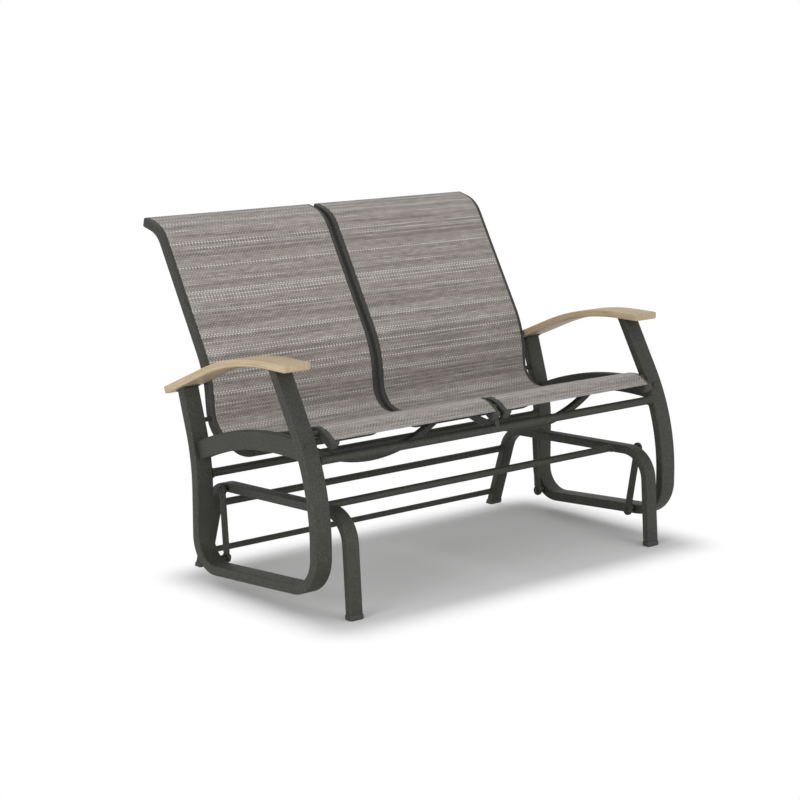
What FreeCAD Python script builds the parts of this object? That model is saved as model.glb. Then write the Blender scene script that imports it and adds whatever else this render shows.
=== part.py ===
import FreeCAD, Part
import math
import os
import Sketcher

# Two-seat glider bench, in millimetres.
# The origin is on the floor under the middle of the bench: X runs along the seat, Y from the front to the back, Z up.
# A fixed base of two inverted U tubes carries four hanging links, and the links carry the seat, which glides on them.
# Every tube is drawn as a tube bender draws it: the corners where its straight runs would meet, and a bend radius.

doc = FreeCAD.newDocument("glider_bench")

sizes = {
    # half the width between the side frames' middles: the base, the links and the sling rails are set in from it
    "side_centre_x": 599.5,
    # base frames: inverted U tubes, one at each end
    "base_inset": 80.5,
    "base_tube_width": 38.0,
    "base_tube_depth": 22.0,
    "base_tube_wall": 1.6,
    "base_front_foot_y": -403.0,
    "base_front_top_y": -383.9,
    "base_front_top_z": 254.5,
    "base_front_bend": 76.0,
    "base_rear_top_y": 148.2,
    "base_rear_top_z": 233.2,
    "base_rear_bend": 73.0,
    "base_rear_foot_y": 220.5,
    # plastic feet on the four legs
    "foot_height": 12.0,
    "foot_sole": 4.0,
    "foot_wall": 1.8,
    "foot_edge": 2.0,
    # round stretchers between the base frames
    "stretcher_diameter": 19.0,
    "lower_stretcher_diameter": 16.0,
    "stretcher_wall": 1.4,
    "front_stretcher_y": -267.0,
    "rear_upper_stretcher_z": 176.0,
    "rear_lower_stretcher_z": 41.0,
    # side frames: bent U tubes that hang on the links and carry the arms
    "side_tube_width": 50.8,
    "side_tube_depth": 25.4,
    "side_tube_wall": 1.8,
    "side_front_top_y": -221.9,
    "side_front_bow_y": -377.3,
    "side_front_bow_z": 328.4,
    "side_front_bow_radius": 550.0,
    "side_front_low_z": 76.1,
    "side_front_bend": 87.0,
    "side_rear_low_y": 102.3,
    "side_rear_low_z": 40.9,
    "side_rear_bend": 75.5,
    "side_rear_bow_z": 317.0,
    "side_rear_bow_radius": 492.7,
    "side_rear_top_y": 159.2,
    "side_rear_top_z": 494.8,
    # arm rests
    "arm_top": 615.0,
    "arm_width": 80.0,
    "arm_thickness": 19.0,
    "arm_front_y": -294.0,
    "arm_bend_start_y": -220.2,
    "arm_bend_radius": 690.0,
    "arm_drop_angle": 23.0,
    "arm_rear_y": 210.0,
    "arm_edge": 3.0,
    "saddle_thickness": 3.0,
    "front_saddle_nose": 20.0,
    "front_saddle_tail": 2.0,
    "rear_saddle_nose": 9.0,
    "rear_saddle_tail": 7.0,
    # arched braces between the two posts of each side frame
    "brace_width": 25.0,
    "brace_height": 48.0,
    "brace_wall": 1.6,
    "brace_radius": 840.0,
    "brace_top_y": -237.0,
    "brace_top_z": 411.5,
    # round rails that join the side frames under the seat
    "seat_rail_diameter": 22.0,
    "seat_rail_wall": 1.6,
    "seat_rail_flare": 33.0,
    "front_rail_y": -336.0,
    "front_rail_z": 384.0,
    "rear_rail_y": 103.5,
    "rear_rail_z": 277.0,
    # line of the seat and back, seen from the side
    "line_top_y": 407.0,
    "line_top_z": 897.5,
    "line_roll_y": 339.0,
    "line_roll_z": 880.5,
    "line_roll_radius": 90.0,
    "line_lumbar_y": 136.2,
    "line_lumbar_z": 531.4,
    "line_lumbar_radius": 270.0,
    "line_seat_y": 117.0,
    "line_seat_z": 350.7,
    "line_seat_radius": 70.0,
    "line_crown_y": -315.5,
    "line_crown_z": 462.5,
    "line_crown_radius": 65.0,
    "line_front_y": -362.0,
    "line_front_z": 432.3,
    # sling rails: channels, open along the top where the sling's hem goes in
    "rail_size": 25.0,
    "rail_wall": 1.6,
    "rail_inset": 46.5,
    "rail_gap": 14.0,
    "slot_inset": 14.0,
    "slot_width": 3.0,
    "hem_depth": 5.0,
    "sling_thickness": 1.4,
    "sling_standoff": 0.4,
    "sling_end_inset": 3.0,
    "rail_cap_length": 5.0,
    "rail_cap_edge": 1.5,
    # spreaders under the seat and behind the back
    "spreader_size": 19.0,
    "spreader_wall": 1.4,
    "spreader_sink": 3.6,
    "front_spreader_y": -172.0,
    "front_spreader_drop": 175.0,
    "front_spreader_radius": 400.0,
    "rear_spreader_y": 66.0,
    "rear_spreader_drop": 26.0,
    "rear_spreader_radius": 60.0,
    "rear_spreader_shoulder": 32.0,
    "back_spreader_z": 800.0,
    # hexagon spacers between the side frames and the outer sling rails
    "spacer_width": 11.0,
    "front_spacer_y": -312.0,
    "front_spacer_z": 446.0,
    "rear_spacer_y": 132.0,
    "rear_spacer_z": 410.0,
    # front bracket between the two inner sling rails
    "bracket_foot": 21.0,
    "bracket_head": 16.0,
    "front_bracket_lean": 8.0,
    "front_bracket_depth": 17.7,
    # hanging links
    "link_inset": 47.5,
    "link_eye": 27.0,
    "link_bar_width": 19.0,
    "link_thickness": 8.0,
    "front_pivot_top_y": -317.3,
    "rear_pivot_top_y": 84.2,
    "front_pivot_low_y": -285.2,
    "rear_pivot_low_y": 69.3,
    "pivot_diameter": 8.0,
    "pivot_clearance": 0.06,
    "open_pivot_clearance": 1.3,
    "bolt_shoulder": 14.0,
    "bolt_head": 13.0,
    "bolt_head_height": 5.5,
    # gap between pieces that touch
    "seat_gap": 0.2,
}

sheet = doc.addObject("Spreadsheet::Sheet", "Sizes")
for row, (name, number) in enumerate(sizes.items(), start=1):
    sheet.set(f"A{row}", name)
    sheet.set(f"B{row}", str(number))
    sheet.setAlias(f"B{row}", name)
doc.recompute()


class Size:
    # a number that remembers the expression it comes from
    def __init__(self, text, value):
        self.text = text
        self.value = value

    def __add__(self, other):
        other = as_size(other)
        return Size(f"({self.text} + {other.text})", self.value + other.value)

    def __sub__(self, other):
        other = as_size(other)
        return Size(f"({self.text} - {other.text})", self.value - other.value)

    def __mul__(self, other):
        other = as_size(other)
        return Size(f"({self.text} * {other.text})", self.value * other.value)

    def __truediv__(self, other):
        other = as_size(other)
        return Size(f"({self.text} / {other.text})", self.value / other.value)

    def __neg__(self):
        return Size(f"(0 - {self.text})", -self.value)


def as_size(number):
    if isinstance(number, Size):
        return number
    return Size(repr(float(number)), float(number))


def size(name):
    return Size(f"Sizes.{name}", float(getattr(sheet, name)))


def root(number):
    return Size(f"sqrt({number.text})", math.sqrt(number.value))


def sine(angle):
    return Size(f"sin({angle.text} * 1 deg)", math.sin(math.radians(angle.value)))


def tangent(angle):
    return Size(f"tan({angle.text} * 1 deg)", math.tan(math.radians(angle.value)))


def cosine(angle):
    return Size(f"cos({angle.text} * 1 deg)", math.cos(math.radians(angle.value)))


def bind(thing, prop, number):
    number = as_size(number)
    thing.setExpression(prop, number.text)


def along(start, end, y):
    # height at y on the straight line through two corners
    return start[1] + (end[1] - start[1]) * (y - start[0]) / (end[0] - start[0])


def across(start, end, z):
    # y at height z on the straight line through two corners
    return start[0] + (end[0] - start[0]) * (z - start[1]) / (end[1] - start[1])


def new_body(label):
    body = doc.addObject("PartDesign::Body", label)
    body.Label = label
    return body


def place(thing, x=0.0, y=0.0, z=0.0):
    bind(thing, "Placement.Base.x", x)
    bind(thing, "Placement.Base.y", y)
    bind(thing, "Placement.Base.z", z)


def sketch_on(body, role, offset=None):
    plane = [item for item in body.Origin.OriginFeatures if item.Role == role][0]
    sketch = body.newObject("Sketcher::SketchObject", "Sketch")
    sketch.AttachmentSupport = (plane, [""])
    sketch.MapMode = "FlatFace"
    if offset is not None:
        bind(sketch, "AttachmentOffset.Base.z", offset)
    return sketch


def hold(sketch, number, constraint):
    # one sketch dimension, driven by the sheet
    index = sketch.addConstraint(constraint)
    number = as_size(number)
    if number.text.startswith(("Sizes", "(", "sqrt", "tan", "cos")):
        sketch.setExpression(f"Constraints[{index}]", number.text)


def pin(sketch, geometry, point, spot):
    hold(sketch, spot[0], Sketcher.Constraint("DistanceX", -1, 1, geometry, point, as_size(spot[0]).value))
    hold(sketch, spot[1], Sketcher.Constraint("DistanceY", -1, 1, geometry, point, as_size(spot[1]).value))


def flat(spot):
    return FreeCAD.Vector(as_size(spot[0]).value, as_size(spot[1]).value, 0)


def bent_line(sketch, corners, radii):
    # straight runs through the corners, joined by tangent bends; returns the number of edges
    points = [flat(corner) for corner in corners]
    start = points[0]
    edges = 0
    bends = []
    for point, before, after, radius in zip(points[1:-1], points[:-2], points[2:], radii):
        back = (before - point).normalize()
        ahead = (after - point).normalize()
        half = back.getAngle(ahead) / 2
        reach = radius.value / math.tan(half)
        centre = point + (back + ahead).normalize() * (radius.value / math.sin(half))
        first = point + back * reach
        last = point + ahead * reach
        left_turn = back.cross(ahead).z < 0
        ends = (first, last) if left_turn else (last, first)
        angles = [math.atan2(end.y - centre.y, end.x - centre.x) for end in ends]
        circle = Part.Circle(centre, FreeCAD.Vector(0, 0, 1), radius.value)
        line = sketch.addGeometry(Part.LineSegment(start, first), False)
        bend = sketch.addGeometry(Part.ArcOfCircle(circle, angles[0], angles[1]), False)
        bends.append((line, bend, left_turn, radius))
        start = last
        edges += 2
    final = sketch.addGeometry(Part.LineSegment(start, points[-1]), False)
    lines = [item[0] for item in bends] + [final]
    for (line, bend, left_turn, radius), following, corner in zip(bends, lines[1:], corners[1:-1]):
        near, far = (1, 2) if left_turn else (2, 1)
        mark = sketch.addGeometry(Part.Point(flat(corner)), True)
        pin(sketch, mark, 1, corner)
        sketch.addConstraint(Sketcher.Constraint("PointOnObject", mark, 1, line))
        sketch.addConstraint(Sketcher.Constraint("PointOnObject", mark, 1, following))
        sketch.addConstraint(Sketcher.Constraint("Tangent", line, 2, bend, near))
        sketch.addConstraint(Sketcher.Constraint("Tangent", bend, far, following, 1))
        hold(sketch, radius, Sketcher.Constraint("Radius", bend, radius.value))
    pin(sketch, lines[0], 1, corners[0])
    pin(sketch, final, 2, corners[-1])
    return edges + 1


def outline(sketch, steps):
    # closed outline: each step is x, y and the radius of the arc that leads to it, or None for a straight edge
    count = len(steps)
    first = None
    for index in range(count):
        start = flat(steps[index - 1])
        end = flat(steps[index])
        radius = steps[index][2]
        if radius is None:
            edge = sketch.addGeometry(Part.LineSegment(start, end), False)
        else:
            reach = as_size(radius).value
            middle = (start + end) / 2
            chord = end - start
            rise = math.sqrt(max(reach * reach - chord.Length ** 2 / 4, 0.0))
            side = FreeCAD.Vector(-chord.y, chord.x, 0).normalize()
            turn = 1 if reach > 0 else -1
            centre = middle + side * (rise * turn)
            ends = (start, end) if reach > 0 else (end, start)
            angles = [math.atan2(spot.y - centre.y, spot.x - centre.x) for spot in ends]
            circle = Part.Circle(centre, FreeCAD.Vector(0, 0, 1), abs(reach))
            edge = sketch.addGeometry(Part.ArcOfCircle(circle, angles[0], angles[1]), False)
            size_now = as_size(radius) if reach > 0 else -as_size(radius)
            hold(sketch, size_now, Sketcher.Constraint("Radius", edge, abs(reach)))
        if first is None:
            first = edge
        reverse = radius is not None and as_size(radius).value < 0
        pin(sketch, edge, 1 if reverse else 2, steps[index])
        if index > 0:
            previous_radius = steps[index - 1][2]
            previous_reverse = previous_radius is not None and as_size(previous_radius).value < 0
            sketch.addConstraint(Sketcher.Constraint(
                "Coincident", edge - 1, 1 if previous_reverse else 2, edge, 2 if reverse else 1))
    last_radius = steps[-1][2]
    last_reverse = last_radius is not None and as_size(last_radius).value < 0
    first_radius = steps[0][2]
    first_reverse = first_radius is not None and as_size(first_radius).value < 0
    sketch.addConstraint(Sketcher.Constraint(
        "Coincident", edge, 1 if last_reverse else 2, first, 2 if first_reverse else 1))


def box_outline(sketch, width, height, middle=(0.0, 0.0)):
    left = as_size(middle[0]) - width / 2
    right = as_size(middle[0]) + width / 2
    low = as_size(middle[1]) - height / 2
    high = as_size(middle[1]) + height / 2
    outline(sketch, [(left, low, None), (right, low, None), (right, high, None), (left, high, None)])


def circle_outline(sketch, middle, diameter):
    ring = sketch.addGeometry(Part.Circle(flat(middle), FreeCAD.Vector(0, 0, 1), as_size(diameter).value / 2), False)
    pin(sketch, ring, 3, middle)
    hold(sketch, diameter, Sketcher.Constraint("Diameter", ring, as_size(diameter).value))


def pad(body, sketch, length, both_ways=True):
    feature = body.newObject("PartDesign::Pad", "Pad")
    feature.Profile = sketch
    if both_ways:
        feature.SideType = "Symmetric"
    bind(feature, "Length", length)
    return feature


def pocket(body, sketch, length, both_ways=True, towards=1):
    feature = body.newObject("PartDesign::Pocket", "Pocket")
    feature.Profile = sketch
    if both_ways:
        feature.SideType = "Symmetric"
    feature.Reversed = towards > 0
    bind(feature, "Length", length)
    return feature


def sweep(body, path, edges, profile):
    feature = body.newObject("PartDesign::AdditivePipe", "Pipe")
    feature.Profile = profile
    feature.Spine = (path, [f"Edge{number}" for number in range(1, edges + 1)])
    return feature


def end_sketch(body, path, half_turn=False):
    # a sketch square to the start of the path; a half turn makes its Y point to the underside of the seat line
    sketch = body.newObject("Sketcher::SketchObject", "Section")
    sketch.AttachmentSupport = (path, ["Edge1"])
    sketch.MapMode = "NormalToEdge"
    if half_turn:
        sketch.AttachmentOffset = FreeCAD.Placement(
            FreeCAD.Vector(0, 0, 0), FreeCAD.Rotation(FreeCAD.Vector(0, 0, 1), 180))
    return sketch


def round_bar(label, diameter, length):
    bar = doc.addObject("Part::Cylinder", label)
    bar.Label = label
    bind(bar, "Radius", as_size(diameter) / 2)
    bind(bar, "Height", length)
    return bar


def sleeve(label, outer, inner, length):
    # a tube along its own Z
    solid = round_bar(label + "_outside", outer, length)
    bore = round_bar(label + "_bore", inner, length)
    cut = doc.addObject("Part::Cut", label)
    cut.Label = label
    cut.Base = solid
    cut.Tool = bore
    return cut


def lay_along_x(thing, start, spot, side=1, towards=1):
    # point a round piece along X, outwards or inwards, starting at this distance from the middle of the bench
    thing.Placement.Rotation = FreeCAD.Rotation(FreeCAD.Vector(0, 1, 0), 90 * side * towards)
    place(thing, as_size(start) * side, spot[0], spot[1])
    return thing


def group(label, pieces):
    node = doc.addObject("Part::Compound", label)
    node.Label = label
    node.Links = pieces
    return node


def bevel(body, feature, width, chosen):
    doc.recompute()
    names = []
    for number, edge in enumerate(feature.Shape.Edges, start=1):
        if chosen(edge):
            names.append(f"Edge{number}")
    edging = body.newObject("PartDesign::Chamfer", "Chamfer")
    edging.Base = (feature, names)
    bind(edging, "Size", width)
    return edging


def revolve(body, sketch):
    feature = body.newObject("PartDesign::Revolution", "Revolution")
    feature.Profile = sketch
    feature.ReferenceAxis = (sketch, ["H_Axis"])
    feature.Angle = 360
    return feature


def bent_box_tube(body, plane, corners, radii, width, depth, wall):
    path = sketch_on(body, plane)
    edges = bent_line(path, corners, radii)
    section = end_sketch(body, path)
    box_outline(section, width, depth)
    box_outline(section, width - wall * 2, depth - wall * 2)
    sweep(body, path, edges, section)


side_x = size("side_centre_x")
base_x = side_x - size("base_inset")
link_x = side_x - size("link_inset")
rail_outer_x = side_x - size("rail_inset")

# base frames
base_wall = size("base_tube_wall")
base_depth = size("base_tube_depth")
base_width = size("base_tube_width")
foot_sole = size("foot_sole")
base_corners = {
    "front_foot": (size("base_front_foot_y"), as_size(0.0)),
    "front_top": (size("base_front_top_y"), size("base_front_top_z")),
    "rear_top": (size("base_rear_top_y"), size("base_rear_top_z")),
    "rear_foot": (size("base_rear_foot_y"), as_size(0.0)),
}


def on_base_rail(y):
    return along(base_corners["front_top"], base_corners["rear_top"], y)


front_pivot_top = (size("front_pivot_top_y"), on_base_rail(size("front_pivot_top_y")))
rear_pivot_top = (size("rear_pivot_top_y"), on_base_rail(size("rear_pivot_top_y")))


def build_base_frame(name, side):
    body = new_body(name)
    below = -base_depth
    corners = [
        (across(base_corners["front_foot"], base_corners["front_top"], below), below),
        base_corners["front_top"],
        base_corners["rear_top"],
        (across(base_corners["rear_foot"], base_corners["rear_top"], below), below),
    ]
    radii = [size("base_front_bend"), size("base_rear_bend")]
    bent_box_tube(body, "YZ_Plane", corners, radii, base_width, base_depth, base_wall)
    trim = sketch_on(body, "YZ_Plane")
    box_outline(trim, size("base_rear_foot_y") * 6, base_width * 2, middle=(0.0, foot_sole - base_width))
    pocket(body, trim, base_width * 2)
    place(body, base_x * side)
    return body


sides = (("left", -1), ("right", 1))
gap = size("seat_gap")
pivot = size("pivot_diameter")
base_half = base_width / 2
base_inner = base_x - base_half
base_outer = base_x + base_half
nodes = {}


def keep(node):
    nodes[node.Label] = node
    return node


# plastic feet, pushed over the leg ends
def build_foot(label, foot, top, side):
    body = new_body(label)
    lean = (top[0] - foot[0]) / (top[1] - foot[1])
    slant = root(lean * lean + 1.0)
    height = size("foot_height")
    outer = (base_depth / 2 + size("foot_wall")) * slant
    inner = (base_depth / 2 + gap) * slant
    floor = foot_sole - gap
    shell = sketch_on(body, "YZ_Plane")
    outline(shell, [
        (foot[0] - outer, as_size(0.0), None), (foot[0] + outer, as_size(0.0), None),
        (foot[0] + lean * height + outer, height, None), (foot[0] + lean * height - outer, height, None)])
    block = pad(body, shell, base_width + size("foot_wall") * 2)
    bevel(body, block, size("foot_edge"), lambda edge: abs(edge.tangentAt(edge.FirstParameter).z) > 0.9)
    socket = sketch_on(body, "YZ_Plane")
    deep = height + foot_sole
    outline(socket, [
        (foot[0] + lean * floor - inner, floor, None), (foot[0] + lean * floor + inner, floor, None),
        (foot[0] + lean * deep + inner, deep, None), (foot[0] + lean * deep - inner, deep, None)])
    pocket(body, socket, base_width + gap * 2)
    place(body, base_x * side)
    return body


# pivots: a hexagon collar on the tube, the journal that the link turns on, and the bolt's head
link_face = size("link_thickness") / 2


def hexagon(label, width, height):
    prism = doc.addObject("Part::Prism", label)
    prism.Polygon = 6
    bind(prism, "Circumradius", as_size(width) / math.sqrt(3.0))
    bind(prism, "Height", height)
    return prism


def build_bolt(label, face, towards, spot, side):
    # face is the tube wall that carries the bolt; towards is 1 where the bolt's head points outwards
    shoulder_length = (link_x - face) * towards - link_face - gap * 2
    journal_length = link_face * 2 + gap * 2
    shoulder = hexagon(label + "_shoulder", size("bolt_shoulder"), shoulder_length)
    journal = round_bar(label + "_journal", pivot, journal_length)
    bind(journal, "Placement.Base.z", shoulder_length)
    head = hexagon(label + "_head", size("bolt_head"), size("bolt_head_height"))
    bind(head, "Placement.Base.z", shoulder_length + journal_length)
    bolt = doc.addObject("Part::MultiFuse", label)
    bolt.Shapes = [shoulder, journal, head]
    return lay_along_x(bolt, face + gap * towards, spot, side, towards)


def build_bolt_set(prefix, face, towards, spots):
    # the four pivots of one body
    bolts = []
    for spot_name, spot in spots.items():
        for side_name, side in sides:
            bolts.append(build_bolt(f"{prefix}_{spot_name}_{side_name}_bolt", face, towards, spot, side))
    keep(group(f"{prefix}_pivot_bolts", bolts))


# side frames
side_width = size("side_tube_width")
side_depth = size("side_tube_depth")
side_inner = side_x - side_width / 2
side_front_low = (size("side_front_bow_y"), size("side_front_low_z"))
side_front_bow = (size("side_front_bow_y"), size("side_front_bow_z"))
side_rear_low = (size("side_rear_low_y"), size("side_rear_low_z"))
side_rear_bow = (size("side_rear_low_y"), size("side_rear_bow_z"))
arm_under = size("arm_top") - size("arm_thickness")
side_front_top = (size("side_front_top_y"), arm_under)
side_rear_top = (size("side_rear_top_y"), size("side_rear_top_z"))
drop = size("arm_drop_angle")
arm_bend_y = size("arm_bend_start_y") + size("arm_bend_radius") * tangent(drop / 2)


def bow_middle(corner, top, radius):
    # centre of the long bend in a post
    lean = (top[0] - corner[0]) / (top[1] - corner[1])
    half = (root(lean * lean + 1.0) - 1.0) / lean
    return (corner[0] + radius, corner[1] - radius * half)


front_bow_middle = bow_middle(side_front_bow, side_front_top, size("side_front_bow_radius"))
rear_bow_middle = bow_middle(side_rear_bow, side_rear_top, size("side_rear_bow_radius"))


def on_side_bottom(y):
    return along(side_front_low, side_rear_low, y)


def on_rear_bend(y):
    # height of the tube's middle where the bottom run turns up into the rear post
    radius = size("side_rear_bend")
    middle_y = side_rear_low[0] - radius
    slope = (side_rear_low[1] - side_front_low[1]) / (side_rear_low[0] - side_front_low[0])
    middle_z = on_side_bottom(middle_y) + radius * root(slope * slope + 1.0)
    away = y - middle_y
    return middle_z - root(radius * radius - away * away)


front_pivot_low = (size("front_pivot_low_y"), on_side_bottom(size("front_pivot_low_y")))
rear_pivot_low = (size("rear_pivot_low_y"), on_rear_bend(size("rear_pivot_low_y")))
front_spacer = (size("front_spacer_y"), size("front_spacer_z"))
rear_spacer = (size("rear_spacer_y"), size("rear_spacer_z"))


def arm_top_line(y):
    return size("arm_top") - tangent(drop) * (y - arm_bend_y)


def below_arm(y, distance):
    # height on the line that runs at this distance under the sloping top of the arm
    return arm_top_line(y) - distance / cosine(drop)


saddle_depth = size("arm_thickness") + gap
tube_depth_under_arm = saddle_depth + size("saddle_thickness") + gap


def build_side_frame(name, side):
    body = new_body(name)
    beyond = side_depth
    front_end = arm_under + beyond
    rear_end = side_rear_top[1] + beyond
    corners = [
        (across(side_front_bow, side_front_top, front_end), front_end),
        side_front_bow,
        side_front_low,
        side_rear_low,
        side_rear_bow,
        (across(side_rear_bow, side_rear_top, rear_end), rear_end),
    ]
    radii = [size(name) for name in (
        "side_front_bow_radius", "side_front_bend", "side_rear_bend", "side_rear_bow_radius")]
    bent_box_tube(body, "YZ_Plane", corners, radii, side_width, side_depth, size("side_tube_wall"))
    front_trim = sketch_on(body, "YZ_Plane")
    cut_height = size("arm_top") - tube_depth_under_arm
    box_outline(front_trim, side_width * 3, side_width, middle=(side_front_top[0], cut_height + side_width / 2))
    pocket(body, front_trim, side_width * 2)
    rear_trim = sketch_on(body, "YZ_Plane")
    near = side_rear_top[0] - side_width
    far = side_rear_top[0] + side_width
    outline(rear_trim, [
        (near, below_arm(near, tube_depth_under_arm), None), (far, below_arm(far, tube_depth_under_arm), None),
        (far, below_arm(far, tube_depth_under_arm) + side_width * 2, None),
        (near, below_arm(near, tube_depth_under_arm) + side_width * 2, None)])
    pocket(body, rear_trim, side_width * 2)
    place(body, side_x * side)
    return body


# arm rests
def build_arm(name, side):
    body = new_body(name)
    radius = size("arm_bend_radius")
    thick = size("arm_thickness")
    start = size("arm_bend_start_y")
    middle = size("arm_top") - radius
    under = radius - thick
    tip = (size("arm_rear_y"), arm_top_line(size("arm_rear_y")))
    sketch = sketch_on(body, "YZ_Plane")
    outline(sketch, [
        (size("arm_front_y"), arm_under, None),
        (start, arm_under, None),
        (start + sine(drop) * under, middle + cosine(drop) * under, -under),
        (tip[0] - sine(drop) * thick, tip[1] - cosine(drop) * thick, None),
        (tip[0], tip[1], None),
        (start + sine(drop) * radius, middle + cosine(drop) * radius, None),
        (start, size("arm_top"), radius),
        (size("arm_front_y"), size("arm_top"), None)])
    board = pad(body, sketch, size("arm_width"))
    bevel(body, board, size("arm_edge"), lambda edge: True)
    place(body, side_x * side)
    return body


def build_saddle(label, front, rear, height, side):
    # plate between a post and the arm; height gives its level at any y for a distance under the arm's top
    body = new_body(label)
    under = saddle_depth + size("saddle_thickness")
    sketch = sketch_on(body, "YZ_Plane")
    outline(sketch, [
        (front, height(front, under), None), (rear, height(rear, under), None),
        (rear, height(rear, saddle_depth), None), (front, height(front, saddle_depth), None)])
    pad(body, sketch, side_width)
    place(body, side_x * side)
    return body


# arched braces between the posts
def build_brace(name, side):
    body = new_body(name)
    middle = (size("brace_top_y"), size("brace_top_z") - size("brace_radius"))
    front = side_front_bow[0] + side_depth / 2
    rear = side_rear_bow[0] + side_depth

    def on_arc(y, radius):
        away = y - middle[0]
        return middle[1] + root(radius * radius - away * away)

    def band(inset):
        outer = size("brace_radius") + size("brace_height") / 2 - inset
        inner = size("brace_radius") - size("brace_height") / 2 + inset
        sketch = sketch_on(body, "YZ_Plane")
        outline(sketch, [
            (front, on_arc(front, inner), None), (rear, on_arc(rear, inner), -inner),
            (rear, on_arc(rear, outer), None), (front, on_arc(front, outer), outer)])
        return sketch

    wall = size("brace_wall")
    pad(body, band(0.0), size("brace_width"))
    pocket(body, band(wall), size("brace_width") - wall * 2)
    front_cut = sketch_on(body, "YZ_Plane")
    face = size("side_front_bow_radius") - side_depth / 2 - gap
    circle_outline(front_cut, front_bow_middle, face * 2)
    circle_outline(front_cut, front_bow_middle, face * 2 + side_width * 4)
    pocket(body, front_cut, side_width * 2)
    rear_cut = sketch_on(body, "YZ_Plane")
    circle_outline(rear_cut, rear_bow_middle, (size("side_rear_bow_radius") + side_depth / 2 + gap) * 2)
    pocket(body, rear_cut, side_width * 2)
    place(body, side_x * side)
    return body


# round rails that join the side frames, flared where they are welded on
def build_seat_rail(name, y, z):
    body = new_body(name)
    half = side_inner - gap
    outer = size("seat_rail_diameter") / 2
    bore = outer - size("seat_rail_wall")
    flare = size("seat_rail_flare") / 2
    rise = flare - outer
    sketch = sketch_on(body, "XY_Plane")
    outline(sketch, [
        (-half, bore, None), (half, bore, None), (half, flare, None), (half - rise * 2, outer, None),
        (rise * 2 - half, outer, None), (-half, flare, None)])
    revolve(body, sketch)
    place(body, 0.0, y, z)
    return body


def build_stretcher(name, diameter, y, z):
    half = base_inner - gap
    tube = sleeve(name, diameter, diameter - size("stretcher_wall") * 2, half * 2)
    return lay_along_x(tube, -half, (y, z))


# the sling rails and the slings follow one line
line_corners = [(size(f"line_{spot}_y"), size(f"line_{spot}_z")) for spot in (
    "top", "roll", "lumbar", "seat", "crown", "front")]
line_radii = [size(f"line_{spot}_radius") for spot in ("roll", "lumbar", "seat", "crown")]
rail = size("rail_size")
rail_wall = size("rail_wall")


def shortened(corners, start, end):
    # the same line, with its two ends drawn back along Y
    first = corners[0][0] - start
    last = corners[-1][0] + end
    return [(first, along(corners[0], corners[1], first))] + corners[1:-1] + [
        (last, along(corners[-2], corners[-1], last))]


def follow_line(body, start=0.0, end=0.0):
    path = sketch_on(body, "YZ_Plane")
    edges = bent_line(path, shortened(line_corners, start, end), line_radii)
    return path, edges


def rail_outline(sketch, slot):
    # channel section, open through its upper wall; the upper face lies at zero
    half = rail / 2
    inside = half - rail_wall
    floor = rail - rail_wall
    left = slot - size("slot_width") / 2
    right = slot + size("slot_width") / 2
    outline(sketch, [
        (-half, as_size(0.0), None), (left, as_size(0.0), None), (left, rail_wall, None), (-inside, rail_wall, None),
        (-inside, floor, None), (inside, floor, None), (inside, rail_wall, None), (right, rail_wall, None),
        (right, as_size(0.0), None), (half, as_size(0.0), None), (half, rail, None), (-half, rail, None)])


def rail_place(which, side):
    # middle of the rail and of its slot, from the middle of the bench
    if which == "outer":
        middle = rail_outer_x - rail / 2
        slot = rail / 2 - size("slot_inset")
    else:
        middle = size("rail_gap") / 2 + rail / 2
        slot = size("slot_inset") - rail / 2
    return middle * side, slot * side


def build_sling_rail(name, which, side):
    body = new_body(name)
    middle, slot = rail_place(which, side)
    path, edges = follow_line(body)
    section = end_sketch(body, path, half_turn=True)
    doc.recompute()
    facing = section.Placement.Rotation.multVec(FreeCAD.Vector(1, 0, 0)).x
    rail_outline(section, slot * round(facing))
    sweep(body, path, edges, section)
    place(body, middle)
    return body


def unit(start, end):
    across_y = end[0] - start[0]
    across_z = end[1] - start[1]
    length = root(across_y * across_y + across_z * across_z)
    return across_y / length, across_z / length


front_bracket_y = size("front_rail_y") + size("front_bracket_lean")
front_bracket_top = (
    front_bracket_y, along(line_corners[4], line_corners[5], front_bracket_y) - size("front_bracket_depth"))


def build_sling(name, side):
    # band with its two hems turned down through the rails' slots
    body = new_body(name)
    inner_middle, inner_slot = rail_place("inner", side)
    outer_middle, outer_slot = rail_place("outer", side)
    inner = inner_middle + inner_slot
    outer = outer_middle + outer_slot
    half = (outer - inner) * side / 2
    skin = size("sling_thickness") / 2
    low = -size("sling_standoff")
    high = low - size("sling_thickness")
    deep = rail_wall + size("hem_depth")
    path, edges = follow_line(body, size("sling_end_inset"), size("sling_end_inset"))
    section = end_sketch(body, path, half_turn=True)
    right_hem = [(half - skin, low), (half - skin, deep), (half + skin, deep), (half + skin, high)]
    left_hem = [(-x, z) for x, z in reversed(right_hem)]
    outline(section, [(x, z, None) for x, z in right_hem + left_hem])
    sweep(body, path, edges, section)
    place(body, (inner + outer) / 2)
    return body


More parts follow.
